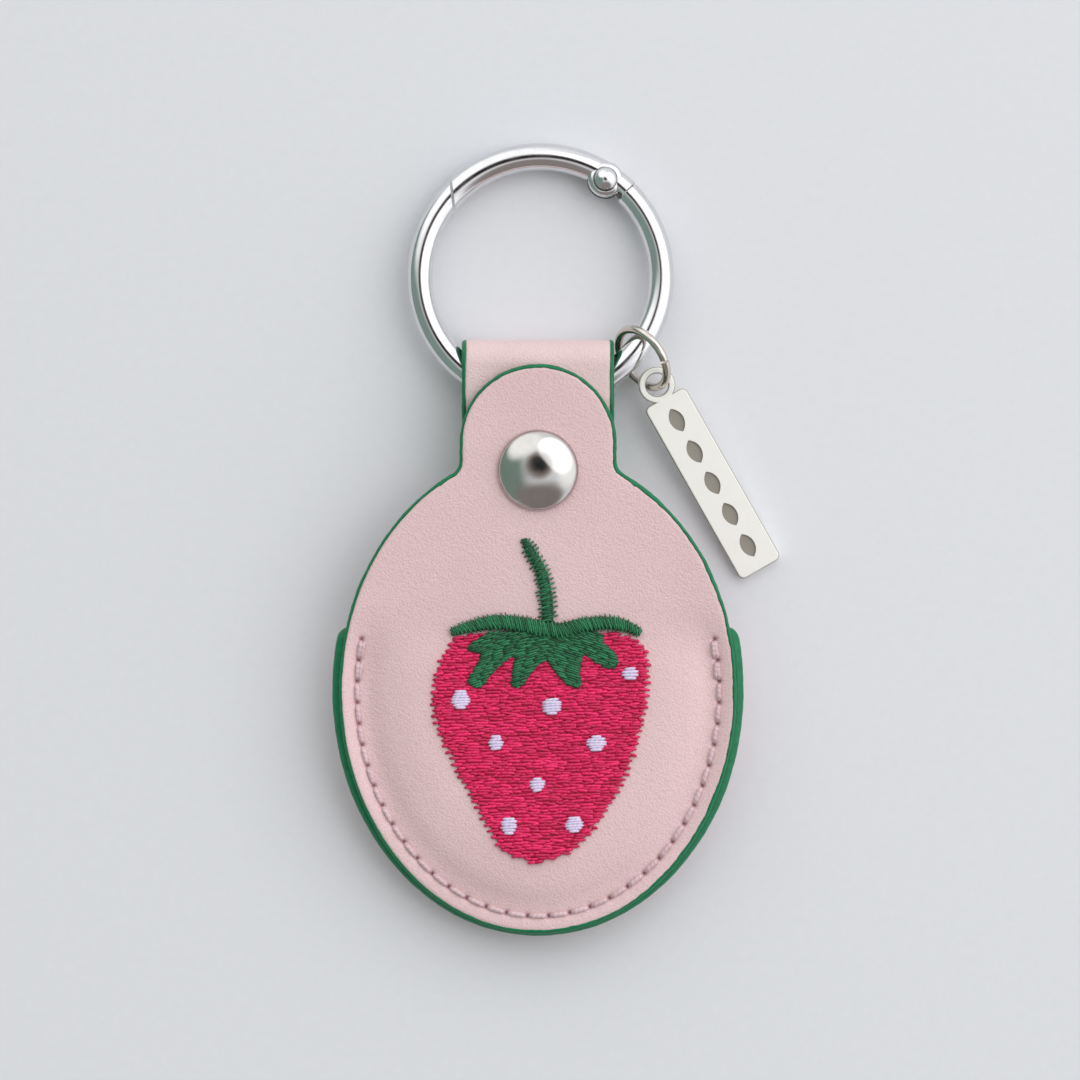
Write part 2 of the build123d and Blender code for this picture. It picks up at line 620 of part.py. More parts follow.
with BuildPart() as charm_bar:
    with BuildSketch(charm_plane.offset(-BAR_THICK / 2)):
        with Locations((BAR_START + BAR_LENGTH / 2, 0)):
            RectangleRounded(BAR_LENGTH, BAR_WIDTH, BAR_CORNER)
        Circle(EYE_RADIUS)
        Circle(EYE_HOLE, mode=Mode.SUBTRACT)
    extrude(amount=BAR_THICK)
    flats = charm_bar.faces().sort_by(SortBy.AREA)[-2:]
    chamfer(flats.edges(), BAR_CHAMFER)
    # A row of five engraved leaves, each cut by two arcs
    with BuildSketch(charm_plane.offset(BAR_THICK / 2)):
        for i in range(LEAF_COUNT):
            middle = FIRST_LEAF + LEAF_PITCH * i
            with BuildLine():
                upper = ThreePointArc((middle - LEAF_LONG, 0), (middle, LEAF_WIDE), (middle + LEAF_LONG, 0))
                ThreePointArc(upper @ 1, (middle, -LEAF_WIDE), upper @ 0)
            make_face()
    extrude(amount=-LEAF_DEPTH, mode=Mode.SUBTRACT)
charm_bar.part.label = "charm_bar"
export_step(charm_bar.part, "parts/charm_bar.step")
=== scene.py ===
import math

import bpy
import numpy as np
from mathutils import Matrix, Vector


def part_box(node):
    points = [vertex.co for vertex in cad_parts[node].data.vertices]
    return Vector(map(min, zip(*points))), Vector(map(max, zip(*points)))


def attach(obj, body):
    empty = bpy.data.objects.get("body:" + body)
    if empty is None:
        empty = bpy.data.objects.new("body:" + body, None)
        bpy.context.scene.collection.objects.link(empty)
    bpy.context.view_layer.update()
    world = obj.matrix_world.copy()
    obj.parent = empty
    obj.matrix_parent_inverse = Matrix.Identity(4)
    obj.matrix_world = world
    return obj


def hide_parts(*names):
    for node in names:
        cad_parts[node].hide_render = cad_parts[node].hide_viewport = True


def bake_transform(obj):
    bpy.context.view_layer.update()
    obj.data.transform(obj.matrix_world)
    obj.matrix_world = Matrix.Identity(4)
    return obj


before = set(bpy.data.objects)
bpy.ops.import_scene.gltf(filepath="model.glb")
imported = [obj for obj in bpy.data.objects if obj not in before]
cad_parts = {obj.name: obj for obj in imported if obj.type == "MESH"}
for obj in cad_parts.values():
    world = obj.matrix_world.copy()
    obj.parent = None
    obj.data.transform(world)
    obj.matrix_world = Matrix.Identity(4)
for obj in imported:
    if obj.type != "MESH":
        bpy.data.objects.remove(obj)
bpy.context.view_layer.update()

RNG = np.random.default_rng(7)

# Lengths below are in millimetres; pieces are scaled to metres when they are made.
MM = 0.001


def node_box(name):
    """Lowest and highest corner of a CAD node's box."""
    low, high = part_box(name)
    return np.array(low) / MM, np.array(high) / MM


# ---------- sizes, mostly from the frame

front_low, front_high = node_box("front_panel")
flap_low, flap_high = node_box("flap_panel")
back_low, back_high = node_box("back_panel")
strap_low, strap_high = node_box("strap")
rim_low, rim_high = node_box("front_edge_paint")
_, mouth_high = node_box("back_edge_paint")
cap_low, cap_high = node_box("snap_cap")

LEATHER = rim_high[2] - rim_low[2]
SEAM_Z = rim_low[2]  # where the front lies on the back, along the seam
FRONT_Z = front_high[2]  # top of the raised front
FRONT_A = front_high[0]  # half axes of the outline; B above y = 0, LOWER_B below it
FRONT_B = -front_low[1]
LOWER_B = FRONT_B + 0.6
BACK_A, BACK_B = back_high[0], -back_low[1]
MOUTH_Y = mouth_high[1]
FOLD_Y = (front_high[1] + flap_low[1]) / 2
NECK_HALF = 9.95
NECK_FILLET = 2.2
NECK_CENTRE_Y = flap_high[1] - NECK_HALF
FLAP_SLOPE = (flap_high[2] - FRONT_Z) / (flap_high[1] - FOLD_Y)
STRAP_HALF = strap_high[0]
STRAP_START_Y = strap_low[1]
PAINT = rim_high[0] - FRONT_A
SEAM_INSET = 2.0
SEAM_TOP_Y = 6.7
STITCH_PITCH = 2.8
SNAP_Y = (cap_low[1] + cap_high[1]) / 2
FRONT_ROUND, BACK_ROUND, CLOTH_ROUND = 0.45, 0.4, 0.3  # widths of the rounded cut edges
SKIN = 0.02  # keeps two faces from lying in one plane
CENTRE_DEPTH = 12  # how much deeper the rings of a sheet count towards its centre
HUB_DEPTH = 99.0


def smooth(t):
    """Smooth step from 0 to 1."""
    t = np.clip(t, 0.0, 1.0)
    return t * t * (3 - 2 * t)


def wobble(s, seed, scale=1.0):
    """Gentle irregular variation along a length s, about -1 to 1."""
    phases = np.random.default_rng(seed).uniform(0, 2 * math.pi, 6)
    waves = [0.23, 0.41, 0.77, 1.31, 2.3, 3.9]
    total = sum(np.sin(s * w * scale + p) / (1 + 0.35 * i) for i, (w, p) in enumerate(zip(waves, phases)))
    return total / 2.6


# ---------- mesh helpers


def piece(name, verts, faces, slot, replaces, body=None, uvs=None, shade=None):
    """A mesh object from millimetre vertices, with its finish, body and the nodes it stands for."""
    mesh = bpy.data.meshes.new(name)
    mesh.from_pydata((np.asarray(verts) * MM).tolist(), [], [list(map(int, f)) for f in faces])
    mesh.validate()
    mesh.update()
    mesh.polygons.foreach_set("use_smooth", [True] * len(mesh.polygons))
    if uvs is not None:
        layer = mesh.uv_layers.new(name="thread")
        loops = np.empty(len(mesh.loops), dtype=np.int32)
        mesh.loops.foreach_get("vertex_index", loops)
        layer.data.foreach_set("uv", np.asarray(uvs, dtype=np.float32)[loops].ravel())
    if shade is not None:
        # tone holds random stitch tone together with painted shade (needle holes, stitch ends, mats, under
        # layers)
        tone = mesh.attributes.new("tone", "FLOAT", "POINT")
        tone.data.foreach_set("value", np.asarray(shade, dtype=np.float32))
    mesh.materials.append(LOOKS[slot])
    obj = bpy.data.objects.new(name, mesh)
    bpy.context.scene.collection.objects.link(obj)
    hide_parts(*replaces)
    if body:
        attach(obj, body)
    return obj


def ring_faces(rings, count, first=0, closed=True):
    """Quads between successive rings of count vertices each."""
    faces = []
    for r in range(rings - 1):
        a, b = first + r * count, first + (r + 1) * count
        for i in range(count if closed else count - 1):
            j = (i + 1) % count
            faces.append((a + i, a + j, b + j, b + i))
    return faces


def normals_of(points):
    """Outward normals of a closed counter-clockwise outline."""
    along = np.roll(points, -1, axis=0) - np.roll(points, 1, axis=0)
    along /= np.linalg.norm(along, axis=1)[:, None]
    return np.column_stack([along[:, 1], -along[:, 0]])


def resample(points, count, closed=True):
    """Evenly spaced points along a line."""
    loop = np.vstack([points, points[:1]]) if closed else np.asarray(points)
    steps = np.linalg.norm(np.diff(loop, axis=0), axis=1)
    run = np.concatenate([[0], np.cumsum(steps)])
    at = np.linspace(0, run[-1], count, endpoint=not closed)
    return np.column_stack([np.interp(at, run, loop[:, k]) for k in range(loop.shape[1])])


def spline_through(points, count):
    """Catmull-Rom curve through a few points."""
    p = np.asarray(points, float)
    p = np.vstack([2 * p[0] - p[1], p, 2 * p[-1] - p[-2]])
    out = []
    per = max(2, count // (len(p) - 3))
    for i in range(1, len(p) - 2):
        for t in np.linspace(0, 1, per, endpoint=False):
            a, b, c, d = p[i - 1], p[i], p[i + 1], p[i + 2]
            out.append(0.5 * (2 * b + (c - a) * t + (2 * a - 5 * b + 4 * c - d) * t**2
                              + (3 * b - a - 3 * c + d) * t**3))
    out.append(p[-2])
    return resample(np.array(out), count, closed=False)


def rounded_path(points, radii, step=0.25):
    """Straight runs joined by tangent arcs, as evenly spaced points."""
    points = [np.array(p, float) for p in points]
    line = [points[0]]
    for i, radius in enumerate(radii):
        before, corner, after = points[i], points[i + 1], points[i + 2]
        u = (before - corner) / np.linalg.norm(before - corner)
        v = (after - corner) / np.linalg.norm(after - corner)
        half = math.acos(np.clip(np.dot(u, v), -1, 1)) / 2
        reach = radius / math.tan(half)
        start, end = corner + u * reach, corner + v * reach
        middle = corner + (u + v) / np.linalg.norm(u + v) * radius / math.sin(half)
        a0, a1 = start - middle, end - middle
        turn = math.atan2(a0[0] * a1[1] - a0[1] * a1[0], np.dot(a0, a1))
        for t in np.linspace(0, 1, 14):
            c, s = math.cos(turn * t), math.sin(turn * t)
            line.append(middle + np.array([a0[0] * c - a0[1] * s, a0[0] * s + a0[1] * c]))
    line.append(points[-1])
    line = np.array(line)
    length = np.linalg.norm(np.diff(line, axis=0), axis=1).sum()
    return resample(line, int(length / step), closed=False)


def shell(outline, centre, insets, inner, top, bottom, radial=False):
    """Closed sheet with the given outline: rings inset from the edge, then rings shrinking to the centre.

    With radial set the insets run straight to the centre, which keeps sharp corners clean.
    """
    normals = normals_of(outline)
    if radial:
        normals = (outline - centre) / np.linalg.norm(outline - centre, axis=1)[:, None]
    count = len(outline)
    rings, depth = [], []
    for d in insets:
        rings.append(outline - normals * d)
        depth.append(np.full(count, d))
    last = rings[-1]
    for s in np.linspace(1, 0, inner + 1)[1:-1]:
        rings.append(centre + (last - centre) * s)
        depth.append(np.full(count, insets[-1] + (1 - s) * CENTRE_DEPTH))
    flat = np.vstack(rings)
    deep = np.concatenate(depth)
    n = len(rings)
    mid = np.array([centre])
    up = np.column_stack([flat, top(flat[:, 0], flat[:, 1], deep)])
    down = np.column_stack([flat, bottom(flat[:, 0], flat[:, 1], deep)])
    far = np.array([HUB_DEPTH])
    hub_up = np.column_stack([mid, top(mid[:, 0], mid[:, 1], far)])
    hub_down = np.column_stack([mid, bottom(mid[:, 0], mid[:, 1], far)])
    verts = np.vstack([up, hub_up, down, hub_down])
    total = n * count
    faces = ring_faces(n, count)
    faces += [((n - 1) * count + i, (n - 1) * count + (i + 1) % count, total) for i in range(count)]
    lower = total + 1
    faces += [tuple(reversed(f)) for f in ring_faces(n, count, first=lower)]
    base = lower + (n - 1) * count
    faces += [(base + (i + 1) % count, base + i, lower + total) for i in range(count)]
    faces += [((i + 1) % count, i, lower + i, lower + (i + 1) % count) for i in range(count)]
    return verts, faces


def sweep_section(centres, sides, ups, section, closed=True):
    """Tube whose section, given as (side, up) offsets per station, follows a line."""
    stations, corners = section.shape[0], section.shape[1]
    verts = (centres[:, None, :] + section[:, :, 0:1] * sides[:, None, :]
             + section[:, :, 1:2] * ups[:, None, :]).reshape(-1, 3)
    faces = []
    for s in range(stations if closed else stations - 1):
        a, b = s * corners, ((s + 1) % stations) * corners
        for i in range(corners):
            j = (i + 1) % corners
            faces.append((a + i, b + i, b + j, a + j))
    if not closed:
        faces.append(tuple(reversed(range(corners))))
        last = (stations - 1) * corners
        faces.append(tuple(range(last, last + corners)))
    return verts, faces


def threads(starts, ends, arch, radius, tones, bow=0.0, rings=7, sides=7, flatten=0.8, taper=0.45, dark=0.55):
    """Many short stitches: flattened tubes that arch up between the points where they enter the cloth,
    painted darker towards their ends as shade.
    """
    starts, ends = np.asarray(starts, float), np.asarray(ends, float)
    count = len(starts)
    arch = np.broadcast_to(arch, count)
    radius = np.broadcast_to(radius, count)
    along = ends - starts
    length = np.linalg.norm(along, axis=1)
    direction = along / np.maximum(length, 1e-6)[:, None]
    side = np.column_stack([-direction[:, 1], direction[:, 0], np.zeros(count)])
    side /= np.maximum(np.linalg.norm(side, axis=1), 1e-6)[:, None]
    t = np.linspace(0, 1, rings)
    lift = 1 - (2 * t - 1) ** 4
    thick = taper + (1 - taper) * (1 - (2 * t - 1) ** 6)
    around = np.linspace(0, 2 * math.pi, sides, endpoint=False)
    middle = starts[:, None, :] + along[:, None, :] * t[None, :, None]
    middle[:, :, 2] += arch[:, None] * lift[None, :]
    middle += side[:, None, :] * (np.asarray(bow) * np.sin(math.pi * t))[None, :, None]
    across = np.cos(around)[None, None, :, None] * side[:, None, None, :]
    upward = np.sin(around)[None, None, :, None] * np.array([0, 0, flatten])[None, None, None, :]
    size = (radius[:, None] * thick[None, :])[:, :, None, None]
    verts = (middle[:, :, None, :] + (across + upward) * size).reshape(-1, 3)
    block = np.array(ring_faces(rings, sides))
    caps = [tuple(reversed(range(sides))), tuple(range((rings - 1) * sides, rings * sides))]
    faces = []
    for k in range(count):
        first = k * rings * sides
        faces += (block + first).tolist()
        faces += [[i + first for i in cap] for cap in caps]
    u = np.broadcast_to((t[None, :] * length[:, None])[:, :, None], (count, rings, sides))
    v = np.broadcast_to((around / (2 * math.pi))[None, None, :], (count, rings, sides))
    uvs = np.stack([u.reshape(-1), v.reshape(-1)], axis=1)
    # painted shade: each stitch darkens towards both ends, where it goes into the cloth; dark sets how much
    painted_end_shade = 1 - dark * (np.abs(2 * t - 1) ** 5)
    shade = np.asarray(tones)[:, None, None] * painted_end_shade[None, :, None] * np.ones((1, 1, sides))
    return verts, faces, uvs, shade.reshape(-1)


def merged(parts):
    """Several (verts, faces, uvs, shade) sets as one."""
    verts, faces, uvs, shade, first = [], [], [], [], 0
    for v, f, u, s in parts:
        verts.append(v)
        faces += [[i + first for i in face] for face in f]
        uvs.append(u)
        shade.append(s)
        first += len(v)
    return np.vstack(verts), faces, np.vstack(uvs), np.concatenate(shade)


def stitched(name, parts, slot, node, body):
    """One piece made of several sets of threads."""
    verts, faces, uvs, shade = merged(parts)
    return piece(name, verts, faces, slot, (node,), body=body, uvs=uvs, shade=shade)


# ---------- materials


class Nodes:
    """Small wrapper for building the nodes of one material, or of the world."""

    def __init__(self, name, world=None):
        self.material = world or bpy.data.materials.new(name)
        self.material.use_nodes = True
        self.tree = self.material.node_tree
        self.shader = self.tree.nodes["Background" if world else "Principled BSDF"]

    def add(self, kind):
        return self.tree.nodes.new(kind)

    def link(self, source, target):
        self.tree.links.new(source, target)

    def feed(self, socket, value):
        """Give a socket a number, a colour or the output of another node."""
        if isinstance(value, (int, float)):
            socket.default_value = value
        elif isinstance(value, tuple):
            socket.default_value = (*value, 1)
        else:
            self.link(value, socket)

    def place(self):
        """Position on the object, in millimetres."""
        coords = self.add("ShaderNodeTexCoord")
        return self.mapped(coords.outputs["Object"], Scale=(1 / MM, 1 / MM, 1 / MM))

    def mapped(self, vector, **values):
        """The vector after a scale or a rotation."""
        mapping = self.add("ShaderNodeMapping")
        for key, value in values.items():
            mapping.inputs[key].default_value = value
        self.link(vector, mapping.inputs["Vector"])
        return mapping.outputs["Vector"]

    def noise(self, vector, scale, detail, rough):
        node = self.add("ShaderNodeTexNoise")
        node.inputs["Scale"].default_value = scale
        node.inputs["Detail"].default_value = detail
        node.inputs["Roughness"].default_value = rough
        self.link(vector, node.inputs["Vector"])
        return node.outputs["Fac"]

    def cells(self, vector, scale):
        node = self.add("ShaderNodeTexVoronoi")
        node.inputs["Scale"].default_value = scale
        self.link(vector, node.inputs["Vector"])
        return node.outputs["Distance"]

    def towards(self, vector, direction):
        """How far a vector points in a direction."""
        dot = self.add("ShaderNodeVectorMath")
        dot.operation = "DOT_PRODUCT"
        self.link(vector, dot.inputs[0])
        dot.inputs[1].default_value = direction
        return dot.outputs["Value"]

    def tone(self):
        """The number that piece() stores at each vertex: random stitch tone, and painted shade at needle
        holes, stitch ends, mats and under layers.
        """
        node = self.add("ShaderNodeAttribute")
        node.attribute_name = "tone"
        return node.outputs["Fac"]

    def math(self, operation, a, b):
        node = self.add("ShaderNodeMath")
        node.operation = operation
        self.feed(node.inputs[0], a)
        self.feed(node.inputs[1], b)
        return node.outputs[0]

    def remap(self, value, low, high, to_low=0, to_high=1, kind="LINEAR"):
        node = self.add("ShaderNodeMapRange")
        node.interpolation_type = kind
        self.link(value, node.inputs["Value"])
        for key, number in (("From Min", low), ("From Max", high), ("To Min", to_low), ("To Max", to_high)):
            node.inputs[key].default_value = number
        return node.outputs["Result"]

    def mix(self, factor, a, b):
        """Colour a to colour b. Sockets 0, 6 and 7 are the colour mix's factor and two colours."""
        node = self.add("ShaderNodeMix")
        node.data_type = "RGBA"
        self.feed(node.inputs[0], factor)
        self.feed(node.inputs[6], a)
        self.feed(node.inputs[7], b)
        return node.outputs[2]

    def bump(self, height, strength, distance, under=None):
        """Raised surface detail, with its depth in millimetres."""
        node = self.add("ShaderNodeBump")
        node.inputs["Strength"].default_value = strength
        node.inputs["Distance"].default_value = distance * MM
        self.link(height, node.inputs["Height"])
        if under is not None:
            self.link(under, node.inputs["Normal"])
        return node.outputs["Normal"]

    def set(self, **values):
        """Set the shader's own inputs; an underscore stands for a space."""
        for key, value in values.items():
            self.feed(self.shader.inputs[key.replace("_", " ")], value)


HOLE_COLOUR = (0.30, 0.10, 0.115)  # leather in the shade of a needle hole
TWIST = 1.5  # turns of a thread's plies per millimetre


def leather(name, tone, dark, seed):
    """Coated leather: fine pebbled grain with painted shade in its hollows, faint clouds of colour, satin
    gloss, painted shade in the needle holes.
    """
    n = Nodes(name)
    place = n.place()
    pebble = n.cells(place, 3.5)
    fine = n.noise(place, 5.0, 4.0, 0.65)
    pores = n.noise(place, 1.3, 2.0, 0.5)
    cloud = n.noise(place, 0.06 + 0.01 * seed, 3.0, 0.5)
    grain = n.math("ADD", n.math("MULTIPLY", pebble, -0.9), n.math("MULTIPLY", fine, 0.7))
    colour = n.mix(n.remap(cloud, 0.35, 0.65), dark, tone)
    # painted shade: the low spots of the grain are darkened towards two thirds of the darker tone
    grain_hollow_shade = n.remap(grain, -0.35, 0.20, 0.22, 0.0)
    colour = n.mix(grain_hollow_shade, colour, tuple(c * 0.66 for c in dark))
    # painted shade in the needle holes, read from the tone attribute
    colour = n.mix(n.math("MULTIPLY", n.tone(), 0.9), colour, HOLE_COLOUR)
    n.set(Base_Color=colour, Roughness=n.remap(pores, 0.3, 0.7, 0.44, 0.58))
    n.shader.inputs["Specular IOR Level"].default_value = 0.4
    first = n.bump(grain, 0.95, 0.06)
    n.set(Normal=n.bump(pores, 0.3, 0.10, first))
    return n.material


def edge_paint():
    """Hand-brushed edge paint: rubbery gloss with brush waves and thin spots."""
    n = Nodes("edge_paint")
    place = n.place()
    streak = n.noise(place, 1.1, 4.0, 0.6)
    fine = n.noise(place, 7.0, 2.0, 0.5)
    colour = n.mix(n.remap(streak, 0.3, 0.7), (0.004, 0.150, 0.058), (0.008, 0.215, 0.088))
    n.set(Base_Color=colour, Roughness=n.remap(streak, 0.3, 0.7, 0.34, 0.50))
    n.shader.inputs["Coat Weight"].default_value = 0.08
    n.shader.inputs["Specular IOR Level"].default_value = 0.28
    n.shader.inputs["Coat Roughness"].default_value = 0.2
    n.set(Normal=n.bump(fine, 0.15, 0.05, n.bump(streak, 0.3, 0.15)))
    return n.material


def thread(name, bright, deep, sheen=0.25):
    """Rayon embroidery thread: silky, twisted plies with painted shade in their grooves, each stitch a little
    different in tone.
    """
    n = Nodes(name)
    uv = n.add("ShaderNodeUVMap")
    uv.uv_map = "thread"
    split = n.add("ShaderNodeSeparateXYZ")
    n.link(uv.outputs["UV"], split.inputs[0])
    phase = n.math("ADD", n.math("MULTIPLY", split.outputs[0], TWIST), split.outputs[1])
    plies = n.math("SINE", n.math("MULTIPLY", phase, 2 * math.pi), 0.0)
    fuzz = n.noise(n.place(), 9.0, 2.0, 0.6)
    level = n.math("ADD", n.tone(), n.remap(fuzz, 0.3, 0.7, -0.18, 0.18))
    colour = n.mix(level, deep, bright)
    # painted shade in the grooves between the twisted plies
    colour = n.mix(n.remap(plies, -1, 1, 0.16, 0.0), colour, tuple(c * 0.45 for c in deep))
    n.set(Base_Color=colour, Roughness=0.38)
    n.shader.inputs["Sheen Weight"].default_value = sheen
    n.shader.inputs["Sheen Roughness"].default_value = 0.35
    n.shader.inputs["Specular IOR Level"].default_value = 0.48
    n.set(Normal=n.bump(plies, 0.40, 0.04))
    return n.material


def metal(name, colour, dark, rough):
    """Plated metal: faint haze, hairline scratches and slightly uneven polish."""
    n = Nodes(name)
    place = n.place()
    haze = n.noise(place, 0.45, 4.0, 0.6)
    fine = n.noise(place, 3.5, 5.0, 0.7)
    hairline = n.mapped(place, Scale=(0.6, 9.0, 2.0), Rotation=(0.2, 0.3, 0.9))
    scratch = n.noise(hairline, 1.2, 6.0, 0.75)
    tint = n.mix(n.remap(haze, 0.3, 0.7, 0, 0.5), colour, dark)
    n.set(Base_Color=tint, Metallic=1.0)
    spread = n.math("ADD", n.remap(haze, 0.3, 0.7, rough * 0.6, rough * 1.5),
                    n.remap(scratch, 0.55, 0.75, 0.0, 0.10))
    n.set(Roughness=spread)
    n.set(Normal=n.bump(scratch, 0.04, 0.03, n.bump(fine, 0.03, 0.05)))
    return n.material


def cloth(name, colour, dark):
    """Brushed lining cloth: fine crossing weave under short nap."""
    n = Nodes(name)
    place = n.place()
    nap = n.noise(place, 4.0, 5.0, 0.7)
    weave = []
    for turn in (0.0, math.pi / 2):
        wave = n.add("ShaderNodeTexWave")
        wave.inputs["Scale"].default_value = 1.1
        wave.inputs["Distortion"].default_value = 1.5
        n.link(n.mapped(place, Rotation=(0, 0, turn)), wave.inputs["Vector"])
        weave.append(wave.outputs["Fac"])
    net = n.math("MULTIPLY", weave[0], weave[1])
    colour = n.mix(n.remap(nap, 0.3, 0.7), dark, colour)
    n.set(Base_Color=colour, Roughness=0.85)
    n.shader.inputs["Sheen Weight"].default_value = 0.4
    n.set(Normal=n.bump(nap, 0.4, 0.08, n.bump(net, 0.4, 0.06)))
    return n.material


LOOKS = {
    "pink_leather": leather("pink_leather", (0.89, 0.640, 0.652), (0.85, 0.600, 0.612), 1),
    "strap_leather": leather("strap_leather", (0.87, 0.665, 0.662), (0.83, 0.620, 0.618), 2),
    "edge_paint": edge_paint(),
    "pink_thread": thread("pink_thread", (0.80, 0.600, 0.640), (0.58, 0.36, 0.40)),
    "berry_thread": thread("berry_thread", (0.98, 0.020, 0.165), (0.48, 0.001, 0.050), 0.06),
    "green_thread": thread("green_thread", (0.022, 0.250, 0.095), (0.003, 0.070, 0.026), 0.12),
    "seed_thread": thread("seed_thread", (0.86, 0.76, 0.98), (0.62, 0.52, 0.80)),
    "ring_metal": metal("ring_metal", (0.80, 0.80, 0.81), (0.66, 0.66, 0.68), 0.10),
    "snap_metal": metal("snap_metal", (0.66, 0.65, 0.63), (0.50, 0.49, 0.47), 0.13),
    "jump_ring_metal": metal("jump_ring_metal", (0.74, 0.69, 0.63), (0.52, 0.46, 0.41), 0.16),
    "spring_steel": metal("spring_steel", (0.55, 0.55, 0.56), (0.40, 0.40, 0.41), 0.25),
    "lining": cloth("lining", (0.66, 0.48, 0.49), (0.56, 0.38, 0.40)),
    "backing": cloth("backing", (0.80, 0.80, 0.79), (0.70, 0.70, 0.69)),
}


# ---------- outlines


def arc(centre, radii, angles):
    """Points on an ellipse's arc."""
    return [(centre[0] + radii[0] * math.cos(a), centre[1] + radii[1] * math.sin(a)) for a in angles]


def mirrored(right, count):
    """Evenly spaced closed outline from its right half, which starts and ends on the middle line."""
    right = np.array(right)
    return resample(np.vstack([right, right[-2:0:-1] * [-1, 1]]), count)


def front_outline(count):
    """Front of the pouch: two half ellipses with a filleted, round-ended neck."""
    reach = NECK_HALF + NECK_FILLET
    low, high = 0.0, math.pi / 2
    for _ in range(60):
        t = (low + high) / 2
        normal = np.array([math.cos(t) / FRONT_A, math.sin(t) / FRONT_B])
        normal /= np.linalg.norm(normal)
        x = FRONT_A * math.cos(t) + NECK_FILLET * normal[0]
        low, high = (t, high) if x > reach else (low, t)
    hub = np.array([reach, FRONT_B * math.sin(t) + NECK_FILLET * normal[1]])
    fillet_from = math.atan2(-normal[1], -normal[0]) % (2 * math.pi)
    right = arc((0, 0), (FRONT_A, LOWER_B), np.linspace(-math.pi / 2, 0, 200))
    right += arc((0, 0), (FRONT_A, FRONT_B), np.linspace(0, t, 160)[1:])
    right += arc(hub, (NECK_FILLET, NECK_FILLET), np.linspace(fillet_from, math.pi, 24)[1:])
    right += arc((0, NECK_CENTRE_Y), (NECK_HALF, NECK_HALF), np.linspace(0, math.pi / 2, 80))
    return mirrored(right, count)


def back_outline(count):
    """Back of the pouch: an ellipse cut across at the mouth, with a tongue up to the strap."""
    corner, shoulder = 1.6, 5.0
    half = BACK_A * math.sqrt(1 - (MOUTH_Y / BACK_B) ** 2)
    side = np.linspace(-math.pi / 2, math.asin((MOUTH_Y - corner) / BACK_B), 220)
    right = arc((0, 0), (BACK_A, BACK_B), side)
    tip = np.array(right[-1])
    bend = np.array([half + 0.1, MOUTH_Y - 0.1])
    knee = np.array([half - corner * 1.1, MOUTH_Y])
    right += [tuple((1 - t) ** 2 * tip + 2 * t * (1 - t) * bend + t**2 * knee)
              for t in np.linspace(0, 1, 12)[1:]]
    hub = (STRAP_HALF + shoulder, MOUTH_Y + shoulder)
    right += arc(hub, (shoulder, shoulder), np.linspace(-math.pi / 2, -math.pi, 30))
    right += [(STRAP_HALF, STRAP_START_Y), (STRAP_HALF * 0.5, STRAP_START_Y), (0, STRAP_START_Y)]
    return mirrored(right, count)


def rim_lift(x, y, depth):
    """How far the sewn rim curls up at the sides, near the mouth."""
    side = smooth((np.abs(x) - 12) / 11) * smooth((y + 27) / 20)
    return 1.15 * side * np.clip((3.4 - depth) / 3.4, 0, 1) ** 1.4


def seam_line(count=4000):
    """Closely spaced points along the seam, from its left end down and round to its right end."""
    line = front_outline(count)
    line = line - normals_of(line) * SEAM_INSET
    bottom = np.roll(line, count // 2, axis=0)
    return bottom[bottom[:, 1] < SEAM_TOP_Y]


def seam_holes():
    """Needle holes, evenly spaced along the seam."""
    line = seam_line()
    length = np.linalg.norm(np.diff(line, axis=0), axis=1).sum()
    count = int(round(length / STITCH_PITCH))
    return resample(line, count + 1, closed=False)


HOLES = seam_holes()


def hole_sink(x, y):
    """Dimples where the thread goes down, and the slack leather between them."""
    sink = np.zeros_like(x)
    near = (x / (FRONT_A - 5)) ** 2 + (y / (LOWER_B - 5)) ** 2 > 1
    px, py = x[near], y[near]
    total = np.zeros_like(px)
    for hx, hy in HOLES:
        total = np.maximum(total, np.exp(-((px - hx) ** 2 + (py - hy) ** 2) / 0.09))
    sink[near] = total
    return sink


def edge_fall(depth, width):
    """1 at a cut edge, falling to 0 at the given width inside it."""
    return np.clip(1 - depth / width, 0, 1)


def field_rise(depth):
    """How far the middle of the front stands above its sewn rim."""
    return (FRONT_Z - SEAM_Z - LEATHER) * smooth((depth - 2.3) / 5.7)


def flap_level(y):
    """Height of the upper side of the flap's straight slope."""
    return FRONT_Z + FLAP_SLOPE * (y - FOLD_Y)


def flap_share(y):
    """0 on the dished front, rising to 1 where the flap's straight slope has taken over."""
    return smooth((y - 2.0) / 9.5)


def front_top(x, y, depth):
    """Upper surface of the front and the flap, which are one sheet."""
    lower = SEAM_Z + LEATHER + rim_lift(x, y, depth) + field_rise(depth)
    weight = flap_share(y)
    z = lower * (1 - weight) + flap_level(y) * weight
    z = z + 0.05 * np.sin(x * 0.21 + 1.0) * np.sin(y * 0.17) * smooth(depth / 5)
    groove = np.exp(-((depth - SEAM_INSET) / 0.55) ** 2) * smooth((SEAM_TOP_Y + 0.8 - y) / 1.2)
    return z - 0.22 * edge_fall(depth, FRONT_ROUND)**2 - 0.16 * groove - 0.45 * hole_sink(x, y)


def front_bottom(x, y, depth):
    """Underside of the same sheet."""
    lower = SEAM_Z + rim_lift(x, y, depth) + field_rise(depth)
    weight = flap_share(y)
    z = lower * (1 - weight) + (flap_level(y) - LEATHER) * weight
    return z + 0.18 * edge_fall(depth, FRONT_ROUND)**2 + SKIN


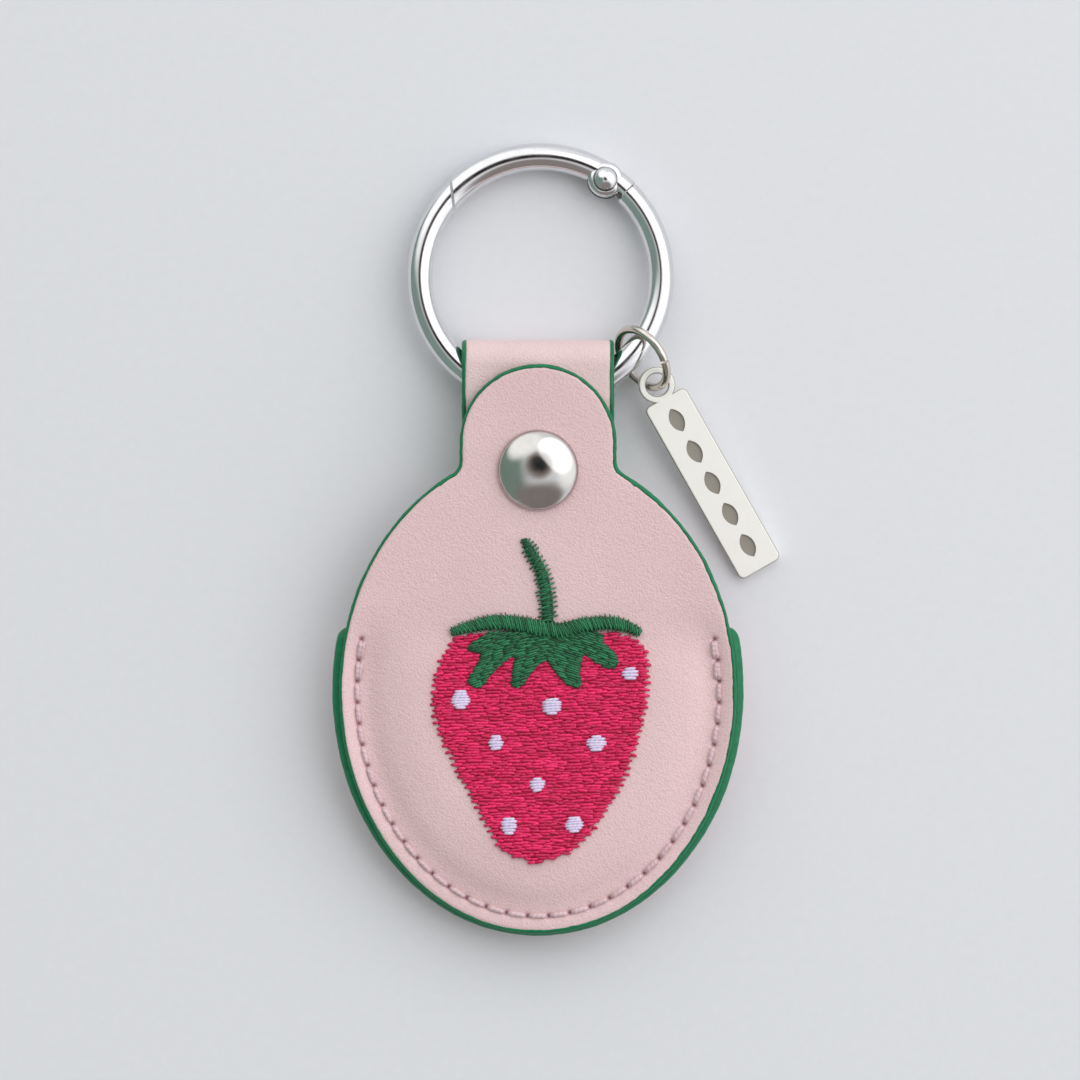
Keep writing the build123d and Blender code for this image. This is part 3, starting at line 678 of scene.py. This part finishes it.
def back_bottom(x, y, depth):
    """Outer surface of the back: flat in the middle, rising to the sewn rim."""
    mean_radius = 28
    inward = (1 - np.sqrt((x / BACK_A) ** 2 + (y / BACK_B) ** 2)) * mean_radius
    z = (SEAM_Z - LEATHER) * (1 - smooth((inward - 0.8) / 6.4))
    z = z + rim_lift(x, y, inward - (BACK_A - FRONT_A))
    tongue = smooth((y - MOUTH_Y) / 3)
    z = z * (1 - tongue)
    return np.maximum(z + 0.15 * edge_fall(depth, BACK_ROUND)**2, 0.0)


def back_top(x, y, depth):
    """Inner surface of the back. Its underside is taken well inside the rounded edge."""
    under = back_bottom(x, y, np.full_like(x, 9.0))
    return under + LEATHER - SKIN - 0.15 * edge_fall(depth, BACK_ROUND)**2


# ---------- leather sheets

EDGE_STEPS = [0.0, 0.15, 0.35, 0.6, 0.9, 1.2, 1.45, 1.65, 1.8, 1.92, 2.04, 2.16, 2.3, 2.5, 2.8, 3.3,
              3.9, 4.6, 5.5]


def make_front():
    """Front and flap as one sheet, with painted shade in the needle holes."""
    outline = front_outline(900)
    verts, faces = shell(outline, np.array([0.0, 7.0]), EDGE_STEPS, 26, front_top, front_bottom)
    on_top = np.arange(len(verts)) < len(verts) // 2
    # painted shade: the needle-hole dimples on the upper face are stored as tone, which darkens the leather
    # there
    hole_shade = hole_sink(verts[:, 0], verts[:, 1]) * on_top
    return piece("front_leather", verts, faces, "pink_leather", ("front_panel", "flap_panel"),
                 shade=hole_shade)


def make_back():
    """Back of the pouch and the tongue that runs up to the strap."""
    outline = back_outline(420)
    verts, faces = shell(outline, np.array([0.0, 1.0]), EDGE_STEPS[:4], 40,
                         back_top, back_bottom, radial=True)
    piece("back_leather", verts, faces, "pink_leather", ("back_panel",), body="pouch")


def run_along(outline):
    """Distance of each point along a closed outline."""
    steps = np.linalg.norm(np.roll(outline, -1, axis=0) - outline, axis=1)
    return np.concatenate([[0], np.cumsum(steps)])[:-1]


def bead(outline, top, bottom, stations):
    """Painted bead wrapped round a sheet's edge.

    Each station is (outward offset, level from -1 at the bottom face to 1 at the top, extra height).
    """
    normals = normals_of(outline)
    count = len(outline)
    sections = []
    for offset, level, extra in stations:
        offset = np.broadcast_to(offset, count)
        reach = np.minimum(offset, -0.02)
        at = outline + normals * reach[:, None]
        high, low = top(at[:, 0], at[:, 1], -reach), bottom(at[:, 0], at[:, 1], -reach)
        z = (high + low) / 2 + level * (high - low) / 2 + extra
        sections.append(np.column_stack([offset, z]))
    section = np.stack(sections, axis=1)
    centres = np.column_stack([outline, np.zeros(count)])
    sides = np.column_stack([normals, np.zeros(count)])
    ups = np.tile([0.0, 0.0, 1.0], (count, 1))
    return sweep_section(centres, sides, ups, section)


def front_bead(outline):
    """Thin hand-painted bead round the front and the flap, uneven in width."""
    run = run_along(outline)
    swell = PAINT * (0.78 + 0.18 * wobble(run, 11, 1.4))
    thin = 0.55 + 0.45 * smooth((outline[:, 0] + 18) / 24)
    over = 0.21 * thin * (1 + 0.5 * wobble(run, 12, 1.1) + 0.25 * wobble(run, 16, 4.0))
    corner = (np.abs(outline[:, 0]) < NECK_HALF + 3) & (outline[:, 1] > 24) & (outline[:, 1] < 28)
    over = over + 0.22 * corner * smooth((28 - outline[:, 1]) / 2) * smooth((outline[:, 1] - 24) / 2)
    return bead(outline, front_top, front_bottom, [
        (-over, 1, 0.02), (-over * 0.5, 1, 0.08), (-0.05, 1, 0.16), (swell * 0.45, 1, -0.02),
        (swell * 0.88, 0.55, 0), (swell, 0, 0), (swell * 0.88, -0.55, 0), (swell * 0.45, -0.9, 0),
        (-0.05, -1, -0.08), (-over * 0.5, -1, -0.06), (-over, -1, 0.02), (-over - 0.15, -0.5, 0),
        (-over - 0.15, 0.5, 0),
    ])


def back_bead(outline):
    """The back's edge: below the mouth its paint slopes up to the front's edge, and joins it."""
    run = run_along(outline)
    swell = PAINT * (0.88 + 0.12 * wobble(run, 23, 1.3))
    sewn = smooth((MOUTH_Y + 0.2 - outline[:, 1]) / 1.2)
    over = 0.22 + 0.78 * sewn + 0.05 * wobble(run, 24, 1.1)
    return bead(outline, back_top, back_bottom, [
        (-over, 1, 0.03 + 0.42 * sewn), (-over * 0.55, 1, 0.10 + 0.34 * sewn),
        (-over * 0.2, 1, 0.13 + 0.17 * sewn), (swell * 0.45, 1, 0.02 + 0.05 * sewn), (swell * 0.88, 0.55, 0),
        (swell, 0, 0), (swell * 0.88, -0.55, 0), (swell * 0.45, -0.9, 0), (-0.05, -1, -0.05),
        (-0.14, -1, -0.06), (-0.26, -1, 0.02), (-0.36, -0.6, 0), (-over - 0.1, 0.6, 0),
    ])


def make_edges():
    """Edge paint of the front with its flap, and of the back."""
    verts, faces = front_bead(front_outline(800))
    front = piece("front_edge", verts, faces, "edge_paint", ("front_edge_paint", "flap_edge_paint"))
    verts, faces = back_bead(back_outline(700))
    verts[:, 2] = np.maximum(verts[:, 2], 0.0)
    piece("back_edge", verts, faces, "edge_paint", ("back_edge_paint",), body="pouch")
    return front


# ---------- strap


def strap_line():
    """Middle line of the strap seen from the side, as (y, z).

    It lies flat, rises a little, runs to the ring's loop, comes back over it and down to the stud.
    """
    lift, leg_gap = 0.6, 0.1
    low, back = LEATHER / 2, lift + LEATHER / 2
    top, front = strap_high[2] - LEATHER / 2, back + LEATHER + leg_gap
    end = strap_high[1] - LEATHER / 2
    clamp, tail = 33.2, 22.8
    corners = [(STRAP_START_Y, low), (18.0, low), (21.0, back), (end, back), (end, top),
               (clamp + top - front, top), (clamp, front), (tail, front)]
    turn = (top - back) / 2 - 0.03
    return rounded_path(corners, (3.0, 3.0, turn, turn, 3.0, 2.0), 0.3)


def strap_frames():
    """Points along the strap with their sideways and upward directions, and the length run so far."""
    line = strap_line()
    along = np.gradient(line, axis=0)
    along /= np.linalg.norm(along, axis=1)[:, None]
    count = len(line)
    centres = np.column_stack([np.zeros(count), line])
    ups = np.column_stack([np.zeros(count), along[:, 1], -along[:, 0]])
    sides = np.tile([1.0, 0.0, 0.0], (count, 1))
    run = np.concatenate([[0], np.cumsum(np.linalg.norm(np.diff(line, axis=0), axis=1))])
    return centres, sides, ups, run


def strap_leather(centres, sides, ups, run):
    """Band with rounded long edges and faint waves across it."""
    half = LEATHER / 2
    over = [(x * STRAP_HALF, half - 0.16 * max(0.0, (abs(x) - 0.955) / 0.045) ** 2)
            for x in np.linspace(-1, 1, 41)]
    under = [(x, -u) for x, u in reversed(over)]
    section = np.tile(np.array(over + under), (len(centres), 1, 1))
    section[:, :, 1] += 0.05 * np.sin(section[:, :, 0] * 0.5) * np.sin(run * 0.7)[:, None]
    verts, faces = sweep_section(centres, sides, ups, section, closed=False)
    return piece("strap_leather", verts, faces, "strap_leather", ("strap",))


def strap_bead(side, centres, sides, ups, run):
    """Painted bead along the strap's left (-1) or right (1) edge, uneven in width."""
    half = LEATHER / 2
    swell = 0.34 * (0.86 + 0.16 * wobble(run, 40 + side, 1.4))
    over = 0.22 * (1 + 0.4 * wobble(run, 44 + side, 1.5))
    profile = [(-over, half + 0.01), (-over * 0.5, half + 0.04), (0, half),
               (swell * 0.6, half * 0.85), (swell, half * 0.4), (swell, -half * 0.4),
               (swell * 0.6, -half * 0.85), (0, -half), (-over * 0.5, -half - 0.04),
               (-over, -half + 0.01), (-over - 0.1, 0)]
    count = len(run)
    section = np.stack([np.column_stack([np.broadcast_to(out, count) * side, np.broadcast_to(up, count)])
                        for out, up in profile], axis=1)
    if side < 0:
        section = section[:, ::-1, :]
    edge = centres + np.array([side * STRAP_HALF, 0, 0])
    return sweep_section(edge, sides, ups, section, closed=False)


def make_strap():
    """The strap and the paint on its two long edges."""
    frames = strap_frames()
    strap = strap_leather(*frames)
    (left, left_faces), (right, right_faces) = (strap_bead(side, *frames) for side in (-1, 1))
    verts = np.vstack([left, right])
    verts[:, 2] = np.maximum(verts[:, 2], 0.0)
    faces = left_faces + [[i + len(left) for i in face] for face in right_faces]
    edge = piece("strap_edge", verts, faces, "edge_paint", ("strap_edge_paint",))
    return strap, edge


# ---------- seam


def make_seam():
    """Sewing thread lying between the holes, doubled where the seam is locked at both ends."""
    sunk, hole_half = 0.34, 0.18
    x, y = HOLES[:, 0], HOLES[:, 1]
    rim = SEAM_Z + LEATHER + rim_lift(x, y, np.full(len(HOLES), SEAM_INSET))
    top = rim * (1 - flap_share(y)) + flap_level(y) * flap_share(y)
    spots = np.column_stack([HOLES, top - sunk])
    starts, ends = spots[:-1].copy(), spots[1:].copy()
    direction = ends - starts
    direction /= np.linalg.norm(direction, axis=1)[:, None]
    starts += direction * hole_half
    ends -= direction * hole_half
    count = len(starts)
    tones = RNG.uniform(0.65, 1.0, count)
    parts = [threads(starts, ends, 0.40, 0.31, tones, bow=0.05, rings=13, sides=10, taper=0.6)]
    for first, last in ((0, 2), (count - 2, count)):
        shift = np.column_stack([-direction[first:last, 1], direction[first:last, 0],
                                 np.zeros(last - first)]) * 0.46
        parts.append(threads(starts[first:last] + shift, ends[first:last] + shift * 0.5, 0.46, 0.27,
                             RNG.uniform(0.6, 0.9, last - first), rings=11, sides=10, taper=0.6))
    stitched("seam_stitches", parts, "pink_thread", "seam_thread", "pouch")


# ---------- embroidery

BERRY_LINE = [
    (0, -22.6), (4.9, -20.5), (9.2, -15.0), (11.8, -9.8), (13.4, -4.4), (14.2, 1.6),
    (13.4, 5.8), (9.0, 7.4), (-8.0, 7.4), (-11.6, 5.6), (-13.5, 0.4), (-13.1, -4.4),
    (-10.7, -9.8), (-8.0, -15.0), (-4.7, -20.5), (0, -22.6),
]
BAND_LINE = [(-11.2, 7.6), (-8.4, 8.4), (-5.1, 8.9), (-1.7, 8.5), (1.2, 7.95),
             (3.2, 7.8), (6.0, 8.5), (8.9, 8.8), (11.4, 8.4), (13.2, 7.5)]
STEM_LINE = [(-1.75, 19.6), (-0.9, 17.9), (0.1, 16.2), (0.85, 13.8), (1.2, 11.2), (1.25, 9.2)]
SEEDS = [(-10.1, -1.2, 2.4, 2.4), (1.8, -2.1, 2.6, 2.1), (12.0, 2.2, 2.2, 1.6), (-5.5, -6.8, 1.9, 1.9),
         (7.6, -6.9, 2.5, 2.0), (-0.1, -12.3, 2.2, 1.8), (-3.8, -17.7, 2.2, 2.2), (4.7, -17.5, 2.3, 2.0)]
ROW_PITCH = 0.395
LEAF_EDGE = [
    (-6.2, 7.6), (-8.5, 6.2), (-9.0, 5.2), (-7.4, 4.6), (-8.4, 2.6), (-9.0, 0.9), (-7.5, 0.5), (-5.6, 2.7),
    (-3.1, 4.5), (-3.3, 2.6), (-3.4, 0.6), (-2.2, 0.6), (-0.6, 2.7), (1.0, 4.0), (2.3, 2.4), (4.0, 0.7),
    (5.6, 0.6), (5.4, 2.8), (6.0, 4.6), (7.8, 3.5), (9.6, 2.9), (10.4, 3.7), (9.9, 4.9), (8.4, 6.2),
    (7.3, 7.6),
]


def berry_span(y):
    """Left and right edges of the berry at a height."""
    line = spline_through(BERRY_LINE, 400)
    crossings = []
    for (x0, y0), (x1, y1) in zip(line[:-1], line[1:]):
        if (y0 - y) * (y1 - y) <= 0 and y0 != y1:
            crossings.append(x0 + (x1 - x0) * (y - y0) / (y1 - y0))
    return min(crossings), max(crossings)


def surface(x, y):
    """Height of the front leather under the embroidery."""
    well_inside = np.full(np.shape(x), 20.0)
    return front_top(np.asarray(x, float), np.asarray(y, float), well_inside)


def laid(points, base):
    """Thread ends, moved to a height above the leather."""
    points = np.array(points, float)
    points[:, 2] = surface(points[:, 0], points[:, 1]) + base
    return points


def stitch_mat(outline, height):
    """Thin underlay that closes the gaps between the stitches above it, painted dark as the shade in those
    gaps.
    """
    def top(x, y, depth):
        return surface(x, y) + height - 0.12 * edge_fall(depth, 0.4)

    def under(x, y, _depth):
        return surface(x, y) - 0.05

    verts, faces = shell(outline, outline.mean(axis=0), [0, 0.4], 4, top, under)
    # painted shade: the mat takes almost the thread's deepest tone
    mat_shade_tone = 0.05
    return verts, faces, verts[:, :2].copy(), np.full(len(verts), mat_shade_tone)


def berry_rows():
    """The berry's fill: wavy rows of uneven stitches, with a mark on those that end a row."""
    starts, ends, tones, tips = [], [], [], []
    y, lowest, row = 7.25, -22.45, 0
    while y > lowest:
        left, right = berry_span(y)
        left -= RNG.uniform(0.15, 0.50) if row % 2 else RNG.uniform(-0.30, 0.05)
        right += RNG.uniform(0.15, 0.50) if row % 2 == 0 else RNG.uniform(-0.30, 0.05)
        x = left
        stitch = RNG.uniform(0.4, 1.5)
        while x < right - 0.2:
            end = min(x + stitch, right)
            if right - end < 0.5:
                end = right
            slant = (0.10 if row % 2 else -0.05) + RNG.uniform(-0.08, 0.08)
            wave = 0.09 * math.sin(0.9 * x + 1.7 * y) + 0.06 * math.sin(2.6 * x - 0.6 * y)
            starts.append((x - 0.12, y + wave - slant, 0))
            ends.append((end + 0.12, y + wave + slant, 0))
            tones.append(RNG.uniform(0.25, 1.0))
            tips.append(x == left or end == right)
            x = end
            stitch = RNG.uniform(0.7, 2.3)
        y -= ROW_PITCH * RNG.uniform(0.94, 1.06)
        row += 1
    return laid(starts, 0.10), laid(ends, 0.10), np.array(tones), np.array(tips)


def make_berry():
    """The berry's rows over a mat painted dark as shade; stitches that end a row taper and are painted darker
    towards their ends, as shade where they dive into the leather.
    """
    starts, ends, tones, tips = berry_rows()
    lift = RNG.uniform(0.10, 0.24, len(starts))
    thick = RNG.uniform(0.19, 0.24, len(starts))
    parts = []
    # row-end stitches get strong painted shade at their ends, the others little
    for pick, taper, dark in ((tips, 0.35, 0.9), (~tips, 0.8, 0.15)):
        parts.append(threads(starts[pick], ends[pick], lift[pick], thick[pick], tones[pick],
                             sides=6, taper=taper, dark=dark))
    outline = resample(spline_through(BERRY_LINE, 200)[:-1], 160)
    parts.append(stitch_mat(outline - normals_of(outline) * 0.35, 0.16))
    stitched("berry_stitches", parts, "berry_thread", "berry_embroidery", "pouch")


def satin(line, widths, base, pitch, slant, arch, radius, ragged, tones=(0.2, 1.0)):
    """Satin column: side-to-side threads packed along a line."""
    line = np.asarray(line)
    length = np.linalg.norm(np.diff(line, axis=0), axis=1).sum()
    count = max(4, int(length / pitch))
    spots = resample(line, count, closed=False)
    wide = np.interp(np.linspace(0, 1, count), np.linspace(0, 1, len(widths)), widths)
    along = np.gradient(spots, axis=0)
    along /= np.linalg.norm(along, axis=1)[:, None]
    c, s = math.cos(math.radians(slant)), math.sin(math.radians(slant))
    across = np.column_stack([-along[:, 1] * c - along[:, 0] * s, along[:, 0] * c - along[:, 1] * s])
    tooth = ragged * np.where(np.arange(count) % 2, 0.75, -0.6)
    left = spots + across * (wide / 2 + tooth + RNG.uniform(-ragged, ragged, count) / 2)[:, None]
    right = spots - across * (wide / 2 - tooth + RNG.uniform(-ragged, ragged, count) / 2)[:, None]
    left += along * RNG.uniform(-0.06, 0.06, count)[:, None]
    right += along * RNG.uniform(-0.06, 0.06, count)[:, None]
    zl, zr = surface(left[:, 0], left[:, 1]) + base, surface(right[:, 0], right[:, 1]) + base
    starts, ends = np.column_stack([left, zl]), np.column_stack([right, zr])
    lift = arch * np.clip(wide / np.max(widths), 0.45, 1) * RNG.uniform(0.9, 1.1, count)
    # dark=0.8 gives strong painted shade at both ends of each thread
    return threads(starts, ends, lift, radius, RNG.uniform(*tones, count), rings=9, sides=7,
                   taper=0.35, dark=0.8, flatten=1.1)


def inside(outline, x, y):
    """Whether points lie inside a closed outline."""
    hit = np.zeros(len(x), dtype=bool)
    for (x0, y0), (x1, y1) in zip(outline, np.roll(outline, -1, axis=0)):
        crosses = (y0 > y) != (y1 > y)
        at = x0 + (x1 - x0) * (y - y0) / np.where(y1 == y0, 1e-9, y1 - y0)
        hit ^= crosses & (x < at)
    return hit


def leaf_rows(outline, pitch, base, arch, radius, shades=(0.15, 1.0)):
    """Rows of short stitches that fan down to both sides from the middle of the calyx."""
    middle, fan, shortest = 1.0, 0.34, 0.5
    xs = np.arange(-10.5, 12.0, 0.06)
    starts, ends, tones = [], [], []
    for top in np.arange(12.5, 0.0, -pitch):
        hit = inside(outline, xs, top - fan * np.abs(xs - middle))
        edges = np.flatnonzero(np.diff(np.concatenate([[0], hit.astype(int), [0]])))
        for first, last in zip(edges[::2], edges[1::2] - 1):
            a, stop = xs[first] - RNG.uniform(-0.06, 0.20), xs[last] + RNG.uniform(-0.06, 0.20)
            while a < stop - 0.15:
                b = min(a + RNG.uniform(1.1, 1.9), stop)
                b = stop if stop - b < shortest else b
                starts.append((a - 0.05, top - fan * abs(a - middle) + RNG.uniform(-0.05, 0.05), 0))
                ends.append((b + 0.05, top - fan * abs(b - middle) + RNG.uniform(-0.05, 0.05), 0))
                tones.append(RNG.uniform(*shades))
                a = b
    lift = arch * RNG.uniform(0.6, 1.2, len(starts))
    return threads(laid(starts, base), laid(ends, base), lift, radius, tones, rings=7, sides=6, taper=0.5)


def make_leaves():
    """The calyx leaves, over a layer of lower and thicker rows painted darker as the shade under the top
    rows.
    """
    outline = resample(spline_through(LEAF_EDGE + LEAF_EDGE[:1], 240)[:-1], 240)
    top = leaf_rows(outline, 0.31, 0.38, 0.24, 0.16)
    # painted shade: the under layer's tones stay near the thread's deep colour
    under = leaf_rows(outline, 0.26, 0.34, 0.08, 0.22, (0.0, 0.15))
    stitched("leaf_stitches", [top, under], "green_thread", "calyx_leaves", "pouch")


def make_band():
    """Satin band across the top of the berry, over a narrower layer painted darker as the shade under the top
    threads.
    """
    line = spline_through(BAND_LINE, 90)
    widths = [1.2, 1.9, 2.2, 2.3, 2.5, 2.5, 2.3, 2.1, 2.0, 1.3]
    top = satin(line, widths, 0.30, 0.27, 20, 0.62, 0.140, 0.20)
    # painted shade: the under layer's tones stay near the thread's deep colour
    under = satin(line, [w * 0.85 for w in widths], 0.15, 0.26, -10, 0.56, 0.20, 0.05, (0.0, 0.1))
    stitched("band_stitches", [top, under], "green_thread", "calyx_band", "pouch")


def make_stem():
    """Satin stem that crosses the fold, over a narrower layer painted darker as the shade under the top
    threads.
    """
    line = spline_through(STEM_LINE, 60)
    top = satin(line, [1.1, 1.7, 1.9, 2.0, 2.1, 2.1], 0.0, 0.28, 12, 0.56, 0.140, 0.42)
    # painted shade: the under layer's tones stay near the thread's deep colour
    under = satin(line, [0.9, 1.4, 1.5, 1.5, 1.6, 1.6], 0.0, 0.26, -12, 0.46, 0.19, 0.05, (0.0, 0.1))
    return stitched("stem_stitches", [top, under], "green_thread", "stem_embroidery", None)


def make_seeds():
    """Oval seeds, each a few parallel threads on top of the berry."""
    base, row_pitch = 0.36, 0.36
    starts, ends, tones = [], [], []
    for cx, cy, wide, tall in SEEDS:
        rows = int(round(tall / row_pitch))
        for i in range(rows):
            v = (i + 0.5) / rows * 2 - 1
            half = wide / 2 * math.sqrt(max(0.05, 1 - v * v * 0.92)) + RNG.uniform(-0.12, 0.16)
            y = cy + v * tall / 2
            slant = RNG.uniform(0.0, 0.12)
            starts.append((cx - half, y - slant, 0))
            ends.append((cx + half, y + slant, 0))
            tones.append(RNG.uniform(0.6, 1.0))
    parts = [threads(laid(starts, base), laid(ends, base), 0.22, 0.215, tones, rings=9)]
    stitched("seed_stitches", parts, "seed_thread", "seed_embroidery", "pouch")


# ---------- linings


def sheet(name, node, outline, centre, up, down, slot, body):
    """Thin cloth sheet between an upper and a lower surface."""
    verts, faces = shell(outline, np.array(centre), [0, 0.12, CLOTH_ROUND], 16, up, down, radial=True)
    piece(name, verts, faces, slot, (node,), body=body)


def make_linings():
    """Flat linings of the pocket and the stiffening behind the embroidery, cut off at the mouth."""
    for node, slot in (("back_lining", "lining"), ("front_lining", "lining"),
                       ("embroidery_backing", "backing")):
        low, high = node_box(node)
        angle = math.asin(min(0.999, high[1] / -low[1]))
        arc = np.linspace(math.pi - angle, 2 * math.pi + angle, 240)
        outline = resample(np.column_stack([high[0] * np.cos(arc), -low[1] * np.sin(arc)]), 260)

        def up(_x, _y, depth, z=high[2]):
            return z - 0.1 * edge_fall(depth, CLOTH_ROUND) ** 2

        def down(_x, _y, depth, z=low[2]):
            return z + 0.1 * edge_fall(depth, CLOTH_ROUND) ** 2

        sheet(node + "_cloth", node, outline, (0.0, -4.0), up, down, slot, "pouch")


def make_flap_lining():
    """Lining under the flap: the outline set in from the edge, cut off above the fold and below the tip."""
    low, high = node_box("flap_lining")
    centre, inset, thickness = (0.0, 20.0), 2.0, 0.3
    outline = front_outline(900)
    outline = outline - normals_of(outline) * inset
    keep = outline[(outline[:, 1] > low[1]) & (outline[:, 1] < high[1])]
    order = np.argsort(np.arctan2(keep[:, 1] - centre[1], keep[:, 0]))
    ring = resample(keep[order], 360)

    def up(_x, y, _depth):
        return flap_level(y) - LEATHER + 0.03

    def down(_x, y, depth):
        return flap_level(y) - LEATHER - thickness + 0.12 * edge_fall(depth, CLOTH_ROUND)

    sheet("flap_lining_cloth", "flap_lining", ring, centre, up, down, "lining", "flap")


# ---------- metal


def lathe(profile, origin, axis, count=96):
    """Turned piece: (radius, height) points round an axis."""
    axis = np.array(axis) / np.linalg.norm(axis)
    side = np.cross([1.0, 0, 0], axis)
    side /= np.linalg.norm(side)
    other = np.cross(axis, side)
    turn = np.linspace(0, 2 * math.pi, count, endpoint=False)
    rim = np.cos(turn)[:, None] * side + np.sin(turn)[:, None] * other
    verts = np.vstack([np.array(origin) + r * rim + h * axis for r, h in profile])
    faces = ring_faces(len(profile), count)
    faces.append(tuple(reversed(range(count))))
    faces.append(tuple(range((len(profile) - 1) * count, len(profile) * count)))
    return verts, [tuple(reversed(f)) for f in faces]


def make_cap():
    """Domed cap of the press stud, with a rolled rim that bites slightly into the leather."""
    base = flap_level(SNAP_Y)
    lean = math.atan(FLAP_SLOPE)
    radius = (cap_high[0] - cap_low[0]) / 2
    apex, rim_height, roll, centre_radius = 2.25, 0.55, 0.28, 0.02
    shank_radius, shank_end = 1.6, -LEATHER - 0.9
    dome_edge = radius - 0.125
    rise = apex - rim_height
    profile = [(centre_radius, apex)]
    for t in np.linspace(0.04, 1, 22):
        profile.append((dome_edge * t, rim_height + rise * (1 - t**2.35) ** 0.8))
    for a in np.radians(np.linspace(60, -80, 9)):
        profile.append((radius - roll + roll * math.cos(a), roll + roll * math.sin(a)))
    profile += [(radius - 0.8, -0.08), (shank_radius, -0.1), (shank_radius, shank_end),
                (centre_radius, shank_end)]
    verts, faces = lathe(profile, (0, SNAP_Y, base), (0, -math.sin(lean), math.cos(lean)))
    piece("cap_dome", verts, faces, "snap_metal", ("snap_cap",), body="flap")


def charm_material():
    """Satin champagne plate with painted shade in the engraved leaves.

    How far a point lies below the bar's largest upward face says whether it is inside an engraving.
    """
    n = Nodes("charm_metal")
    place = n.place()
    haze = n.noise(place, 0.5, 4.0, 0.6)
    pit = n.noise(place, 5.0, 4.0, 0.7)
    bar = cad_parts["charm_bar"].data
    face = max(bar.polygons, key=lambda f: f.area * (f.normal.z > 0.5))
    up = face.normal.copy()
    coords = n.add("ShaderNodeTexCoord")
    level = n.towards(coords.outputs["Object"], up)
    depth = n.math("MULTIPLY", n.math("SUBTRACT", level, up.dot(face.center)), -1 / MM)
    cut = n.math("MULTIPLY", n.remap(depth, 0.06, 0.14), n.remap(depth, 0.27, 0.31, 1, 0))
    inside = n.math("MULTIPLY", cut, 0.85)
    colour = n.mix(n.remap(haze, 0.3, 0.7), (1.0, 0.985, 0.94), (0.98, 0.955, 0.90))
    # painted shade: inside the engraved leaves the colour is mixed towards a dark brown
    colour = n.mix(inside, colour, (0.20, 0.17, 0.13))
    n.set(Base_Color=colour, Metallic=0.0)
    n.set(Roughness=n.math("ADD", n.remap(haze, 0.3, 0.7, 0.32, 0.40), n.math("MULTIPLY", inside, 0.2)))
    n.set(Normal=n.bump(pit, 0.12, 0.05))
    return n.material


# ---------- build

front = make_front()
make_back()
front_edge = make_edges()
strap, strap_edge = make_strap()
make_seam()
make_berry()
make_leaves()
make_band()
stem = make_stem()
make_seeds()
make_linings()
make_flap_lining()
make_cap()

LOOKS["charm_metal"] = charm_material()
REPAINTED = {
    "ring_metal": ("ring_body", "ring_gate", "gate_pin"),
    "snap_metal": ("snap_post", "snap_stud", "snap_socket"),
    "spring_steel": ("snap_spring", "gate_spring"),
    "charm_metal": ("charm_bar",),
    "jump_ring_metal": ("jump_ring",),
}
for look, nodes in REPAINTED.items():
    for node in nodes:
        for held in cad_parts[node].material_slots:
            held.material = LOOKS[look]

for obj in (front, front_edge, stem):
    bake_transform(obj)
for obj in (strap, strap_edge):
    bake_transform(obj)

# ---------- stage, light and camera


def make_stage():
    """Pale table top, just under the object."""
    half, gap = 0.8, 0.00005
    mesh = bpy.data.meshes.new("table")
    corners = [(-half, -half, 0), (half, -half, 0), (half, half, 0), (-half, half, 0)]
    mesh.from_pydata(corners, [], [(0, 1, 2, 3)])
    table = bpy.data.objects.new("table", mesh)
    table.location.z = -gap
    bpy.context.scene.collection.objects.link(table)
    n = Nodes("table")
    grain = n.noise(n.place(), 0.8, 4.0, 0.6)
    n.set(Base_Color=n.mix(n.remap(grain, 0.3, 0.7), (0.79, 0.80, 0.835), (0.81, 0.82, 0.855)),
          Roughness=0.7)
    mesh.materials.append(n.material)


def area_light(name, place, aim, size, power):
    """Round white light that faces a point."""
    light = bpy.data.lights.new(name, "AREA")
    light.shape = "DISK"
    light.size = size
    light.energy = power
    obj = bpy.data.objects.new(name, light)
    obj.location = place
    obj.rotation_euler = (Vector(aim) - Vector(place)).to_track_quat("-Z", "Y").to_euler()
    bpy.context.scene.collection.objects.link(obj)


def make_world():
    """Soft white studio with a few darker and brighter zones, which the metal picks up."""
    base_colour, strength = (0.80, 0.81, 0.84), 1.13
    zones = [  # towards, cosine where it starts and where it is full, colour
        ((-0.95, -0.15, 0.30), 0.40, 0.75, (0.20, 0.27, 0.24)),
        ((0.05, -0.85, 0.50), 0.68, 0.88, (0.24, 0.21, 0.20)),
        ((-0.40, 0.70, 0.60), 0.78, 0.94, (1.15, 1.15, 1.14)),
        ((0.85, -0.05, 0.52), 0.82, 0.95, (1.15, 1.15, 1.15)),
        ((0.03, 0.06, 0.99), 0.925, 0.985, (0.17, 0.13, 0.11)),
        ((0.02, 0.06, 0.99), 0.978, 0.992, (0.015, 0.017, 0.02)),
    ]
    world = bpy.data.worlds.new("studio")
    n = Nodes("studio", world)
    view = n.add("ShaderNodeTexCoord").outputs["Generated"]
    colour = base_colour
    for direction, begin, full, tint in zones:
        facing = n.towards(view, Vector(direction).normalized())
        colour = n.mix(n.remap(facing, begin, full, kind="SMOOTHSTEP"), colour, tint)
    n.set(Color=colour, Strength=strength)
    bpy.context.scene.world = world


def make_camera():
    """Camera straight above the object, as in the photo."""
    height, object_level, view_width, sensor = 0.8, 0.005, 0.1413, 36.0
    camera = bpy.data.cameras.new("camera")
    camera.sensor_width = sensor
    camera.lens = sensor * (height - object_level) / view_width
    camera.dof.use_dof = False
    obj = bpy.data.objects.new("camera", camera)
    obj.location = (0.00026, 0.0196, height)
    bpy.context.scene.collection.objects.link(obj)
    bpy.context.scene.camera = obj


bpy.context.scene.view_settings.view_transform = "Standard"
make_stage()
make_world()
area_light("key", (0.42, 0.34, 0.56), (0, 0.02, 0), 1.0, 2.1)
make_camera()
